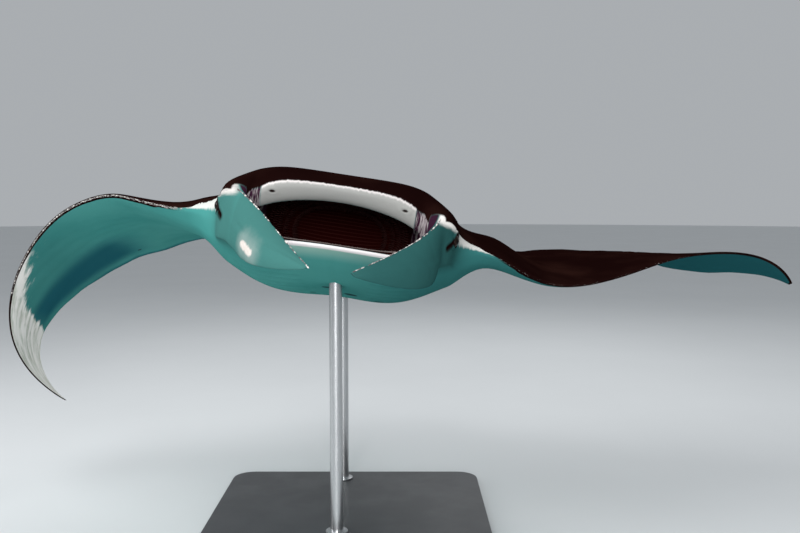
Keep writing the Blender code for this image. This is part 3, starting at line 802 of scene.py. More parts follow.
flat = read(skin_data.vertices, "co", 3).astype(float)
normals = read(skin_data.vertex_normals, "vector", 3).astype(float)
x, y, z = flat.T
across = np.abs(x)
row = note("row")
fin_along = note("fin_along")
fin_below = note("fin_below")
fin_face = note("fin_face")
front = leading_edge(across)
chord = np.clip((y - front) / (trailing_edge(across) - front), 0, 1)
print("rows from", row.min().round(1), "to", row.max().round(1))

# %% [markdown]
# ## Folds and grooves
# The rounded body still looks like soap. Real skin rises in a thick rim round the eye and sinks
# in behind it, wrinkles in rings round the socket, rolls over at the lips, and is drawn in at
# the nostrils. Under the throat the gill covers lie over one another like roof tiles. The wings
# show faint rays of gristle, and their thin rear edge waves a little. Each of these is a height
# over the rounded surface, given by the distance to a point or a line.

# %% Eye rims
def distance_to(point, stretch=(1, 1, 1)):
    """Distance to a point on each side, at ±x. A stretch above 1 narrows that direction."""
    away = np.stack([across, y, z], axis=1) - np.array(point)
    return np.linalg.norm(away * np.array(stretch), axis=1)


def distance_to_line(start, end):
    """Distance to a straight line on each side, and the share of the way along it."""
    start = np.array(start)
    way = np.array(end) - start
    away = np.stack([across, y, z], axis=1) - start
    share = np.clip(away @ way / (way @ way), 0, 1)
    return np.linalg.norm(away - share[:, None] * way, axis=1), share


LID_HEIGHT = 0.0046
WRINKLES = [(0.040, 0.0015, 2.0, 0.4), (0.049, 0.0013, 3.0, 2.0), (0.059, 0.0011, 2.0, 3.6),
            (0.071, 0.0009, 3.0, 0.9)]  # distance, height, waves round the eye, turn

height = np.zeros(len(flat))
eye_away = distance_to(EYE_PLACE, (1, 0.95, 1.12))
eye_turn = np.arctan2(z - EYE_PLACE[2], y - EYE_PLACE[1])
thicker_above = 1 + 0.5 * soft_step(z, -0.005, 0.02)
height += LID_HEIGHT * thicker_above * hump(eye_away - 0.0285, 0.0050)
height -= 0.014 * soft_step(eye_away, 0.0262, 0.0215)
height -= 0.0020 * hump(eye_away - 0.0365, 0.0035)
near_eye = soft_step(eye_away, 0.095, 0.06) * soft_step(across, 0.29, 0.32)
for distance, rise, waves, turn in WRINKLES:
    strength = 0.55 + 0.45 * np.cos(waves * eye_turn + turn)
    height += rise * strength * near_eye * hump(eye_away - distance, 0.0032)
tear, tear_share = distance_to_line((0.354, 0.098, 0.004), (0.326, 0.050, -0.036))
height -= 0.0035 * hump(tear, 0.0055)
height += 0.0022 * hump(tear - 0.011, 0.0045) * soft_step(eye_away, 0.030, 0.036)
print("eye rims rise", LID_HEIGHT * 1000, "mm")

# %% Lips and nostrils
in_mouth = soft_step(across, 0.262, 0.235) * (fin_along < -0.05)
height += 0.0030 * in_mouth * hump(row - 0.10, 0.20)
height -= 0.0016 * in_mouth * hump(row + 0.55, 0.18)
height += 0.0020 * in_mouth * hump(row - 9.95, 0.25)
height -= 0.0018 * in_mouth * hump(row - 10.75, 0.22)
nostril = distance_to(NOSTRIL_PLACE, (0.62, 1, 1.35))
height -= 0.0060 * hump(nostril, 0.0060)
height += 0.0016 * hump(nostril - 0.0110, 0.0035)
ROOF_FOLDS = 9
palate = in_mouth * soft_step(row, 1.4, 2.0) * soft_step(row, 4.6, 4.0)
height += 0.0016 * palate * np.cos(2 * math.pi * ROOF_FOLDS * row / 3)
print("nostrils at", NOSTRIL_PLACE)

# %% Head fins
on_fin = soft_step(fin_along, 0.0, 0.14)
outside = soft_step(fin_face, 0.2, 0.7)
bowed = 0.40 + 0.10 * np.sin(4.2 * fin_along + 0.6)
height -= 0.0016 * on_fin * outside * hump(fin_below - bowed, 0.035)
height += 0.0012 * on_fin * outside * hump(fin_below - bowed - 0.10, 0.05)
for step, share in enumerate((0.22, 0.41, 0.63)):
    height -= 0.0010 * on_fin * hump(fin_along - share - 0.06 * np.sin(5 * fin_below + step), 0.02)

# %% Gill slits
below = soft_step(row, 10.8, 11.5)
for behind_slit, on in gill_places(across, y):
    height += 0.0030 * below * on * hump(behind_slit + 0.014, 0.012)
    height -= 0.0062 * below * on * hump(behind_slit - 0.0025, 0.0042)

# %% Back and belly
above = soft_step(row, -0.6, -1.4)
height += 0.0035 * above * hump(x, 0.022) * soft_step(y, 0.25, 0.5) * soft_step(y, 1.6, 1.3)
height -= 0.0030 * above * hump(across - 0.060, 0.026) * soft_step(y, 0.35, 0.6)
spiracle = distance_to_line((0.352, 0.205, 0.075), (0.366, 0.222, 0.066))[0]
height -= 0.0050 * hump(spiracle, 0.0042)
height += 0.0020 * hump(spiracle - 0.009, 0.0035)
vent = distance_to_line((0.0, 1.395, -0.06), (0.0, 1.455, -0.05))[0]
height -= 0.0070 * below * hump(vent, 0.0090)
height += 0.0030 * below * hump(vent - 0.021, 0.0080)
height -= 0.0022 * below * hump(x, 0.010) * soft_step(y, 0.10, 0.3) * soft_step(y, 0.75, 0.6)

# %% Wings
RAYS = 64  # per full turn about the shoulder
RAY_ORIGIN = (0.16, 0.58)
ray_turn = np.arctan2(y - RAY_ORIGIN[1], across - RAY_ORIGIN[0])
on_wing = soft_step(across, 0.42, 0.75) * soft_step(chord, 0.06, 0.2) * soft_step(chord, 0.98, 0.85)
on_wing = on_wing * soft_step(across, 1.70, 1.5)
height += 0.0008 * on_wing * np.cos(RAYS * ray_turn)
rear_wave = 0.0018 * soft_step(chord, 0.55, 1.0) * soft_step(across, 0.3, 0.55)
rear_wave = rear_wave * soft_step(across, 1.74, 1.5)
flat[:, 2] += rear_wave * (np.sin(21 * x + 0.7) + 0.5 * np.sin(47 * x))
flat += normals * height[:, None]
print("relief from", (height.min() * 1000).round(1), "to", (height.max() * 1000).round(1), "mm")

# %% [markdown]
# ## Into the swimming pose
# The flat body now takes its pose. Each wing bends along its span through a line of angles and
# twists about its leading edge: the left one is spread in a gentle wave, the right one is near
# the end of its beat, its tip curled right under. Last, the whole animal is pitched nose up and
# banked to its left, about the point between its eyes.

# %% The bend of each wing
# (distance from the centre line along the flat wing, degrees up from level)
LEFT_BEND = [(0.30, 0), (0.38, 0), (0.45, -7), (0.54, -22), (0.63, -14), (0.72, 6), (0.85, 22),
             (1.02, 28), (1.22, 19), (1.42, 10), (1.57, -3), (1.67, -18), (1.75, -35)]
RIGHT_BEND = [(0.30, 0), (0.38, 0), (0.46, -5), (0.56, 5), (0.66, 8), (0.77, -14), (0.90, -29),
              (1.03, -43), (1.17, -51), (1.31, -62), (1.43, -76), (1.54, -99), (1.65, -123),
              (1.75, -139)]
# (distance, degrees that the rear edge is turned down)
LEFT_TWIST = [(0.30, 0), (0.38, 0), (0.50, -9), (0.65, -13), (0.85, -14.5), (1.10, -11),
              (1.30, -0.5), (1.52, 7), (1.75, 9)]
RIGHT_TWIST = [(0.30, 0), (0.38, 0), (0.48, -4), (0.62, -2), (0.80, 3), (1.10, 4.3),
               (1.42, 1), (1.75, -6)]
LEFT_SWEEP = -0.235
RIGHT_SWEEP = 0.39
BEND_START = 0.38
BEND_STEP = 0.01
BELLY_LEAN = 1.1  # share by which the belly is deeper on the animal's right, per square metre
LEAN_FADE = (0.40, 0.60)
LEAN_START = 0.10


def bent_side(points, side, bend, twist, sweep):
    """The points of one flat wing, carried to their places in the bent wing."""
    steps = round((HALF_SPAN - BEND_START) / BEND_STEP) + 2
    spans = BEND_START + BEND_STEP * np.arange(steps)
    angles = np.radians(along(bend, spans[:-1] + BEND_STEP / 2))
    outs = BEND_START + BEND_STEP * np.concatenate([[0], np.cumsum(np.cos(angles))])
    ups = BEND_STEP * np.concatenate([[0], np.cumsum(np.sin(angles))])
    span = np.maximum(side * points[:, 0], BEND_START)
    slope = np.radians(along(bend, span))
    turn = np.radians(along(twist, span))
    edge = leading_edge(span)
    back = points[:, 1] - edge
    along_chord = back * np.cos(turn) + points[:, 2] * np.sin(turn)
    over = points[:, 2] * np.cos(turn) - back * np.sin(turn)
    reach = (span - BEND_START) / (HALF_SPAN - BEND_START)
    return np.stack([side * (np.interp(span, spans, outs) - over * np.sin(slope)),
                     edge + along_chord + sweep * reach ** 2,
                     np.interp(span, spans, ups) + over * np.cos(slope)], axis=1)


turn = (Matrix.Rotation(math.radians(ROLL_TO_LEFT), 4, "Y")
        @ Matrix.Rotation(math.radians(-NOSE_UP), 4, "X"))
PLACE = Matrix.Translation(between_eyes) @ turn @ Matrix.Translation((0, -EYE_BACK, 0))


def posed(points):
    """Points of the flat body, as an array, in their places over the stand."""
    points = np.array(points, float)
    width = np.clip((LEAN_FADE[1] - np.abs(points[:, 0])) / (LEAN_FADE[1] - LEAN_FADE[0]), 0, 1)
    lean = BELLY_LEAN * points[:, 0] * np.abs(points[:, 0]) * width
    lean *= np.clip(points[:, 1] / LEAN_START, 0, 1)
    points[:, 2] *= np.where(points[:, 2] < 0, 1 - lean, 1)
    left = bent_side(points, 1, LEFT_BEND, LEFT_TWIST, LEFT_SWEEP)
    right = bent_side(points, -1, RIGHT_BEND, RIGHT_TWIST, RIGHT_SWEEP)
    made = np.where(points[:, :1] > BEND_START, left, points)
    made = np.where(points[:, :1] < -BEND_START, right, made)
    return made @ np.array(PLACE.to_3x3()).T + np.array(PLACE.translation)


skin_places = posed(flat)
skin_data.vertices.foreach_set("co", skin_places.astype(np.float32).ravel())
print("left wing tip at", posed([(HALF_SPAN, WING_TIP_BACK, 0)])[0].round(3))


# %% Notes for the paint
def add_note(name, values):
    kind = "FLOAT_VECTOR" if values.ndim == 2 else "FLOAT"
    made = skin_data.attributes.new(name, kind, "POINT")
    made.data.foreach_set("vector" if values.ndim == 2 else "value",
                          values.astype(np.float32).ravel())


gleam = distance_to_line((0.198, -0.127, -0.150), (0.230, -0.086, -0.124))[0]
slit_shade = np.zeros(len(flat))
for behind_slit, on in gill_places(across, y):
    slit_shade = np.maximum(slit_shade, on * hump(behind_slit - 0.0025, 0.006) * below)
add_note("flat", np.stack([x, y, z], axis=1))
add_note("behind", y - front)
add_note("chord", chord)
add_note("eye_away", eye_away)
add_note("tear", tear)
add_note("tear_share", tear_share)
add_note("gleam", gleam)
add_note("nostril", nostril)
add_note("slit_shade", slit_shade)
print("notes:", len(skin_data.attributes))

# %% [markdown]
# ## Colours of the skin
# A manta is dark above and pale below, so that it is hard to see from either side. The model is
# shown as it looks in clear sea water, where white skin turns blue-green, except where the sun
# strikes it. The pattern follows the notes on the mesh: dark down to the brow and round the
# leading edges; a pale band along the upper lip with fine fingers into the dark; a nearly black
# mouth; a white lower lip; and a pale belly with a dark hem. On the back lie two pale shoulder
# bars, and under the belly a few dark spots, by which divers tell one manta from another.

# %% Paints
# Linear red, green and blue.
DARK = (0.0075, 0.0022, 0.0020)
DARK_WARM = (0.018, 0.0065, 0.0050)
DARK_PURPLE = (0.030, 0.010, 0.022)
MOUTH = (0.0125, 0.0012, 0.0010)
MOUTH_LINE = (0.035, 0.010, 0.009)
BELLY = (0.072, 0.300, 0.275)
BELLY_DEEP = (0.050, 0.250, 0.232)
BELLY_SHADE = (0.034, 0.160, 0.156)  # the side away from the sun
WING_SHADE = (0.014, 0.088, 0.100)  # and the far half of its wing
SHADED_FIN = (0.045, 0.150, 0.138)
FIN_SHADE = (0.022, 0.085, 0.082)
LIT_THROAT = (0.340, 0.540, 0.465)
SUNLIT = (0.66, 0.63, 0.60)
SUN_WHITE = (0.92, 0.88, 0.84)
BROW_SUNLIGHT = (0.54, 0.515, 0.49)
LOWER_LIP_SUNLIT = (0.73, 0.69, 0.69)
LIP_GREY = (0.295, 0.295, 0.282)
LIP_WHITE = (0.64, 0.60, 0.59)
BAND = (0.008, 0.078, 0.112)
SPOT = (0.020, 0.035, 0.040)
SHOULDER = (0.16, 0.165, 0.16)


class Coat(Recipe):
    """The skin's material, with the notes and clouds that the parts of its pattern share."""

    def __init__(self):
        super().__init__("manta skin")
        self.flat_place = self.noted_place("flat")
        self.x, self.y, self.z = self.parts(self.flat_place)
        self.across = self.sum("ABSOLUTE", self.x)
        self.row = self.noted("row")
        self.fin_along = self.noted("fin_along")
        self.fin_below = self.noted("fin_below")
        self.fin_face = self.noted("fin_face")
        self.behind = self.noted("behind")
        self.chord = self.noted("chord")
        self.right = self.fade(self.x, 0.02, -0.02)
        self.cloud = self.noise(self.flat_place, 3.0, 4.0)
        self.blotch = self.noise(self.flat_place, 14.0, 5.0)
        self.grain = self.noise(self.flat_place, 160.0, 2.0)
        self.fingers = self.streaks(150.0, 12.0, 12.0, 3.0, 0.7)
        self.off_fin = self.fade(self.fin_along, -0.01, -0.06)
        self.on_fin = self.fade(self.fin_along, 0.0, 0.10)
        self.mouth_width = self.fade(self.across, 0.256, 0.247)
        self.band_width = self.fade(self.across, 0.226, 0.220)
        self.colour = self.mix(self.fade(self.cloud, 0.35, 0.70), BELLY, BELLY_DEEP)

    def streaks(self, x, y, z, detail, roughness):
        """A noise on the flat body, this fine in each direction."""
        return self.noise(self.stretched(self.flat_place, x, y, z), 1.0, detail, roughness)

    def either(self, a, b):
        return self.sum("MAXIMUM", a, b)

    def sway(self, noise, size):
        """A noise as a shift to both sides."""
        return self.times(self.less(noise, 0.5), size)

    def all_of(self, *masks):
        product = masks[0]
        for mask in masks[1:]:
            product = self.times(product, mask)
        return product

    def cover(self, share, paint):
        """Lays another paint over what is there, by its share."""
        self.colour = self.mix(share, self.colour, paint)


# %% [markdown]
# ### The underside and the wings
# The belly is pale, with painted shade on the animal's left, away from the sun, and far out on the
# wings, and painted light on the front of the throat. The right wing has a soft dark band and painted
# sunlight on its tip. Dark spots lie between the gills, on the abdomen and on one wing.

# %% Underside
def paint_underside(coat):
    # Painted light: the front of the throat is paler than the belly, as more light falls on it.
    throat = coat.all_of(coat.spot(coat.across, 0.10, 0.30), coat.fade(coat.row, 10.2, 10.6),
                         coat.spot(coat.y, 0.06, 0.22), coat.off_fin)
    coat.cover(throat, LIT_THROAT)
    # Painted shade: darker on the animal's left, away from the sun, and darker still far out on its
    # left wing.
    coat.cover(coat.fade(coat.x, -0.10, 0.35), BELLY_SHADE)
    coat.cover(coat.fade(coat.x, 0.50, 1.00), WING_SHADE)
    # Painted shade: the head fins' outer faces and the cheeks beside them are darker than the belly,
    # the fin on the animal's left darker still.
    shaded_fin_colour = coat.mix(coat.fade(coat.x, -0.05, 0.15), SHADED_FIN, FIN_SHADE)
    # Painted shade far out on the right wing.
    coat.cover(coat.fade(coat.x, -0.85, -1.15, 0.0, 0.55), BELLY_SHADE)
    facing = coat.all_of(coat.fade(coat.y, 0.30, 0.10), coat.fade(coat.across, 0.20, 0.30))
    coat.cover(coat.either(coat.on_fin, facing), shaded_fin_colour)


# %% Right wing
TIP_DIM_SUNLIGHT = (0.56, 0.56, 0.49)


def paint_right_wing(coat):
    """Soft dark band over the outer half of the right wing, and painted sunlight on its tip."""
    band = coat.all_of(coat.right, coat.fade(coat.across, 0.75, 0.95),
                       coat.fade(coat.across, 1.46, 1.32), coat.fade(coat.chord, 0.40, 0.62),
                       coat.fade(coat.chord, 0.97, 0.80))
    coat.cover(coat.times(band, 0.85), BAND)
    # Painted sunlight: streaks of white over the tip of the right wing.
    along_edge = coat.place_from(coat.times(coat.across, 10.0), coat.times(coat.chord, 15.0), 0.0)
    streaks = coat.noise(along_edge, 1.0, 4.0, 0.60)
    reach = coat.plus(coat.fade(coat.across, 1.02, 1.32, -0.02, 0.24),
                      coat.fade(coat.across, 1.30, 1.50, 0.0, 1.1))
    tip_edge = coat.less(coat.plus(reach, coat.sway(streaks, 0.45)), coat.chord)
    tip = coat.all_of(coat.right, coat.fade(coat.across, 0.98, 1.16),
                      coat.fade(tip_edge, -0.04, 0.10))
    tip_sunlight = coat.mix(coat.fade(streaks, 0.35, 0.60), TIP_DIM_SUNLIGHT, SUN_WHITE)
    coat.cover(coat.times(tip, 0.96), tip_sunlight)


# %% Hem and spots
SPOTS = [
    # x, behind the lip, radius
    (-0.03, 0.60, 0.020), (0.05, 0.70, 0.026), (-0.09, 0.76, 0.017), (0.15, 0.80, 0.022),
    (-0.19, 0.92, 0.030), (0.08, 0.95, 0.016), (-0.06, 1.05, 0.021), (0.21, 1.02, 0.015),
    (0.02, 1.18, 0.018), (-0.86, 1.06, 0.011)]


def paint_hem(coat):
    """Dusky hem along the rear of the underside."""
    rear = coat.plus(coat.chord, coat.times(coat.blotch, 0.05))
    hem = coat.all_of(coat.fade(rear, 0.955, 1.01), coat.fade(coat.across, 0.25, 0.5),
                      coat.fade(coat.across, 1.3, 1.0))
    coat.cover(coat.times(hem, 0.7), BAND)


def paint_spots(coat):
    """Dark spots between the gills and on the abdomen, and the shade in the gill slits."""
    for x, y, radius in SPOTS:
        away = coat.node("VectorMath", {0: coat.place_from(coat.x, coat.y, 0.0), 1: (x, y, 0.0)},
                         operation="DISTANCE")["Value"]
        away = coat.plus(away, coat.sway(coat.blotch, 0.03))
        mark = coat.all_of(coat.spot(away, radius * 0.75, radius), coat.fade(coat.row, 11.0, 11.5),
                           coat.off_fin)
        coat.cover(coat.times(mark, 0.85), SPOT)
    coat.cover(coat.times(coat.noted("slit_shade"), 0.45), BAND)


# %% [markdown]
# ### The head
# Painted sunlight lies on the folds beside and above each eye and on one spot on a head fin. Painted
# shade lies in the groove that runs down and forward from the eye, and in the socket round each eye.
# The mouth is nearly black between a white lower lip, painted as bright as the sun makes it, and a
# pale band along the upper one with a painted highlight on its crest, and the inner faces of the head
# fins are a dark purple.

# %% Round the eyes
BROW_DIM_SUNLIGHT = (0.42, 0.40, 0.39)


def paint_brow(coat):
    """Painted sunlight on the shoulder beside and above each eye, brightest on the folds, and in
    streaks on the wing root below.
    """
    folds = coat.streaks(18.0, 18.0, 90.0, 4.0, 0.6)
    patch_height = coat.plus(coat.z, coat.sway(folds, 0.016))
    outer_root = coat.either(coat.off_fin, coat.fade(coat.fin_face, 0.2, 0.6))
    patch = coat.all_of(coat.fade(coat.across, 0.268, 0.300), coat.fade(coat.across, 0.385, 0.350),
                        coat.fade(patch_height, 0.014, 0.034), coat.fade(coat.y, 0.17, 0.12),
                        coat.fade(coat.row, -0.4, 0.0), outer_root)
    # Painted sunlight, brightest on the folds and whiter on the animal's left.
    sunlit_patch_colour = coat.mix(coat.fade(folds, 0.38, 0.58), BROW_DIM_SUNLIGHT, BROW_SUNLIGHT)
    sunlit_patch_colour = coat.mix(coat.fade(coat.x, -0.1, 0.1, 0.0, 0.8), sunlit_patch_colour, SUN_WHITE)
    coat.cover(patch, sunlit_patch_colour)
    # Painted sunlight in combed streaks down the front of the wing root beside the eye.
    combed = coat.streaks(110.0, 20.0, 9.0, 3.0, 0.6)
    ragged_row = coat.plus(coat.row, coat.times(combed, 6.0))
    sunlit_streak = coat.all_of(coat.fade(coat.across, 0.350, 0.372), coat.fade(coat.across, 0.520, 0.455),
                         coat.fade(ragged_row, 8.5, 4.5), coat.fade(coat.row, -2.0, -1.6))
    coat.cover(coat.times(sunlit_streak, 0.8), SUNLIT)


def paint_eye_shade(coat):
    """Painted shade: a dark comma in the groove that runs down and forward from the eye, and dark in
    the socket round the ball.
    """
    groove_shade_width = coat.fade(coat.noted("tear_share"), 0.0, 1.0, 0.010, 0.007)
    coat.cover(coat.fade(coat.less(coat.noted("tear"), groove_shade_width), 0.012, -0.004), DARK)
    coat.cover(coat.spot(coat.noted("eye_away"), 0.0275, 0.0325), DARK)


# %% Gleam on a head fin
GLEAM_SHADE = (0.50, 0.43, 0.38)


def paint_gleam(coat):
    """A painted highlight with a soft painted glow round it, on the outer face of the right head fin.
    """
    ragged = coat.noise(coat.flat_place, 55.0, 5.0)
    gleam = coat.plus(coat.noted("gleam"), coat.sway(ragged, 0.016))
    outside = coat.all_of(coat.right, coat.fade(coat.fin_face, 0.1, 0.4))
    coat.cover(coat.times(outside, coat.fade(gleam, 0.060, 0.0, 0.0, 0.24)), SUNLIT)
    shine = coat.times(outside, coat.fade(gleam, 0.0150, 0.0065))
    coat.cover(shine, coat.mix(coat.grain, GLEAM_SHADE, SUNLIT))


# %% Mouth and lips
def paint_mouth(coat):
    """White skin of the lower lip, painted as bright as the sun makes it, then the dark inside of the
    mouth with a few paler lines.
    """
    rim = coat.all_of(coat.mouth_width, coat.fade(coat.row, 9.55, 9.75),
                      coat.fade(coat.row, 11.1, 10.5))
    coat.cover(rim, LOWER_LIP_SUNLIT)
    lines = coat.node("TexWave", {"Vector": coat.place_from(0.0, 0.0, coat.row), "Scale": 2.2,
                                  "Distortion": 1.5, "Detail": 2.0},
                      wave_type="BANDS", bands_direction="Z")["Fac"]
    inside = coat.mix(coat.times(coat.fade(lines, 0.80, 0.98), 0.6), MOUTH, MOUTH_LINE)
    in_mouth = coat.all_of(coat.mouth_width, coat.fade(coat.row, 0.95, 1.30),
                           coat.fade(coat.row, 9.75, 9.50))
    coat.cover(in_mouth, inside)


def paint_upper_lip(coat):
    """Pale band along the upper lip, with a painted highlight along its crest, fine fingers into the
    dark and two nostrils.
    """
    lip_edge = coat.plus(coat.row, coat.sway(coat.fingers, 0.20))
    lip = coat.all_of(coat.band_width, coat.off_fin, coat.fade(lip_edge, -0.34, -0.28),
                      coat.fade(coat.row, 1.30, 0.95))
    # Painted highlight: the band is whitest along the crest of the lip.
    lip_colour = coat.mix(coat.fade(lip_edge, 0.06, -0.10), LIP_GREY, LIP_WHITE)
    hole = coat.fade(coat.noted("nostril"), 0.0090, 0.0060)
    coat.cover(lip, coat.mix(hole, lip_colour, DARK))


def paint_fin_roots(coat):
    """Dark strip between the band's corner and the head fin, and the fin's inner face."""
    corner = coat.all_of(coat.fade(coat.across, 0.220, 0.226), coat.fade(coat.across, 0.276, 0.268),
                         coat.fade(coat.row, 9.4, 9.0), coat.fade(coat.row, -0.5, 0.0),
                         coat.off_fin)
    folded = coat.times(coat.fade(coat.fingers, 0.50, 0.60), 0.35)
    coat.cover(corner, coat.mix(folded, DARK_PURPLE, LIP_WHITE))
    rim_stays_pale = coat.fade(coat.fin_below, 0.55, 0.85, 0.0, 0.65)
    inner = coat.all_of(coat.fade(coat.fin_along, -0.06, -0.01), coat.fade(coat.y, 0.40, 0.30),
                        coat.fade(coat.plus(coat.fin_face, rim_stays_pale), 0.35, 0.05))
    coat.cover(inner, DARK_PURPLE)


# %% [markdown]
# ### The back
# The dark of the back ends at a ragged line: on the upper lip, above the eye, and all the way round
# the leading edge further out. Two hook-shaped pale bars cross the shoulders, and broken flecks of
# painted highlight, where the sun glints on the wet edge, lie along the foremost line of each wing.

# %% Where the back is dark
def dark_limit(coat):
    """The row down to which the dark reaches."""
    limit = coat.plus(coat.fade(coat.across, 0.430, 0.580, 0.3, 11.08),
                      coat.fade(coat.across, 0.245, 0.262, -0.43, 0.0))
    climb = coat.all_of(coat.fade(coat.across, 0.355, 0.385), coat.fade(coat.across, 0.500, 0.440),
                        coat.right)
    return coat.less(limit, coat.times(climb, coat.fade(coat.fingers, 0.2, 0.8, 0.35, 0.75)))


def dark_share(coat):
    limit = dark_limit(coat)
    wobble = coat.sway(coat.blotch, coat.fade(coat.across, 0.24, 0.32, 0.0, 0.35))
    edge = coat.plus(coat.row, coat.times(coat.sway(coat.fingers, 0.20),
                                          coat.fade(coat.across, 0.27, 0.24)))
    above = coat.fade(coat.less(coat.plus(edge, wobble), limit), 0.06, -0.06)
    hem_width = coat.plus(coat.fade(coat.x, 0.9, 1.3, 0.003, 0.008), coat.times(coat.blotch, 0.006))
    under_rim = coat.all_of(coat.fade(coat.less(coat.behind, hem_width), 0.002, -0.002),
                            coat.fade(coat.across, 0.46, 0.55))
    dark = coat.either(above, under_rim)
    tail_start = coat.plus(coat.y, coat.times(coat.blotch, 0.04))
    tail = coat.all_of(coat.fade(tail_start, 1.615, 1.655), coat.fade(coat.across, 0.075, 0.060))
    return coat.either(coat.times(dark, coat.off_fin), tail)


# %% Back
def paint_back(coat):
    """Dark back, down to the brow and round the leading edge, with the shoulder bars."""
    dark = dark_share(coat)
    shade = coat.mix(coat.fade(coat.cloud, 0.40, 0.72), DARK, DARK_WARM)
    slant = coat.less(coat.plus(coat.y, coat.times(coat.blotch, 0.10)), coat.times(coat.across, 0.45))
    bar_end = coat.fade(coat.across, 0.12, 0.66, 0.86, 0.56)
    bar = coat.all_of(coat.fade(coat.across, 0.07, 0.20), coat.fade(coat.across, 0.68, 0.46),
                      coat.fade(slant, 0.575, 0.605),
                      coat.fade(coat.less(slant, bar_end), 0.07, -0.09))
    strength = coat.fade(coat.blotch, 0.25, 0.70, 0.45, 0.85)
    coat.cover(dark, coat.mix(coat.times(bar, strength), shade, SHOULDER))


def paint_edge_glints(coat):
    """Broken flecks of painted highlight along the foremost line of each wing, fewer on the far side.
    """
    stretched = coat.place_from(coat.times(coat.across, 70.0), coat.times(coat.row, 0.5), 0.0)
    scattered = coat.noise(stretched, 1.0, 3.0, 0.7)
    enough = coat.fade(coat.x, -0.1, 0.1, 0.52, 0.63)
    glint = coat.all_of(coat.fade(coat.less(scattered, enough), 0.0, 0.04),
                        coat.fade(coat.row, 2.5, 4.0), coat.fade(coat.row, 10.6, 9.6),
                        coat.fade(coat.across, 0.47, 0.53), coat.fade(coat.across, 1.34, 1.15))
    coat.cover(coat.times(glint, 0.8), SUNLIT)


# %% The whole pattern
def skin_finish():
    coat = Coat()
    for paint in (paint_underside, paint_right_wing, paint_hem, paint_spots, paint_brow,
                  paint_eye_shade, paint_gleam, paint_mouth, paint_upper_lip, paint_fin_roots,
                  paint_back, paint_edge_glints):
        paint(coat)
    height = coat.plus(coat.times(coat.grain, 0.5), coat.times(coat.blotch, 0.6))
    coat.bump(height, 0.25, 0.004)
    return coat.finish(Base_Color=coat.colour, Roughness=0.55, Specular_IOR_Level=0.0)


# %% The skin piece
FLESH = [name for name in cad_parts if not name.startswith(("stand", "eye"))]

skin = shown("skin", skin_data)
skin_data.shade_smooth()
skin_data.materials.append(skin_finish())
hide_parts(*FLESH)
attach(skin, "root")
print("the skin stands for", len(FLESH), "solids")

# %% [markdown]
# ## Small things set along lines
# Three details are many small shapes in a row: pale beads that edge the head fins and one wing,
# plates of the gill combs in the mouth, and the teeth. Each row is a line or a cloud of
# points on the skin, and Geometry Nodes set one small shape on each point, turned to the line
# or to the skin and varied a little in size. The result is turned into a plain mesh.

# %% Node trees
def new_tree(name, inputs):
    """An empty node tree with a mesh input, the named inputs and a mesh output."""
    tree = bpy.data.node_groups.new(name, "GeometryNodeTree")
    for label, kind in [("Geometry", "NodeSocketGeometry")] + inputs:
        tree.interface.new_socket(label, in_out="INPUT", socket_type=kind)
    tree.interface.new_socket("Geometry", in_out="OUTPUT", socket_type="NodeSocketGeometry")
    return tree, tree.nodes.new("NodeGroupInput").outputs


def set_instances(tree, given, points, shape, rotation):
    """Sets the shape on the points, realises the copies and gives them the material."""
    size = add_node(tree, "FunctionNodeRandomValue",
                    {2: given["Smallest"], 3: given["Largest"], "Seed": given["Seed"]},
                    data_type="FLOAT")
    copies = add_node(tree, "GeometryNodeInstanceOnPoints",
                      {"Points": points, "Instance": shape, "Rotation": rotation,
                       "Scale": size[1]})
    real = add_node(tree, "GeometryNodeRealizeInstances", {"Geometry": copies["Instances"]})
    soft = add_node(tree, "GeometryNodeSetShadeSmooth", {"Geometry": real["Geometry"]})
    paint = add_node(tree, "GeometryNodeSetMaterial",
                     {"Geometry": soft["Geometry"], "Material": given["Material"]})
    add_node(tree, "NodeGroupOutput", {"Geometry": paint["Geometry"]})


def bead_tree():
    """Long beads along a line, with some left out at random."""
    tree, given = new_tree("beads along a line", [
        ("Spacing", "NodeSocketFloat"), ("Bead size", "NodeSocketVector"),
        ("Smallest", "NodeSocketFloat"), ("Largest", "NodeSocketFloat"),
        ("Share left out", "NodeSocketFloat"), ("Seed", "NodeSocketInt"),
        ("Material", "NodeSocketMaterial")])
    curve = add_node(tree, "GeometryNodeMeshToCurve", {"Mesh": given["Geometry"]})
    points = add_node(tree, "GeometryNodeResampleCurve",
                      {"Curve": curve["Curve"], "Length": given["Spacing"]}, mode="LENGTH")
    gaps = add_node(tree, "FunctionNodeRandomValue",
                    {"Probability": given["Share left out"], "Seed": given["Seed"]},
                    data_type="BOOLEAN")
    bead = add_node(tree, "GeometryNodeMeshIcoSphere", {"Radius": 1, "Subdivisions": 2})
    shaped = add_node(tree, "GeometryNodeTransform",
                      {"Geometry": bead["Mesh"], "Scale": given["Bead size"]})
    tangent = add_node(tree, "GeometryNodeInputTangent", {})
    turned = add_node(tree, "FunctionNodeAlignRotationToVector",
                      {"Vector": tangent["Tangent"]}, axis="X")
    noted = add_node(tree, "GeometryNodeStoreNamedAttribute",
                     {"Name": "turn", "Geometry": points["Curve"], "Value": turned["Rotation"]},
                     data_type="QUATERNION")
    as_points = add_node(tree, "GeometryNodeCurveToPoints", {"Curve": noted["Geometry"]},
                         mode="EVALUATED")
    fewer = add_node(tree, "GeometryNodeDeleteGeometry",
                     {"Geometry": as_points["Points"], "Selection": gaps[3]})
    turn = add_node(tree, "GeometryNodeInputNamedAttribute", {"Name": "turn"},
                    data_type="QUATERNION")
    set_instances(tree, given, fewer["Geometry"], shaped["Geometry"], turn["Attribute"])
    return tree


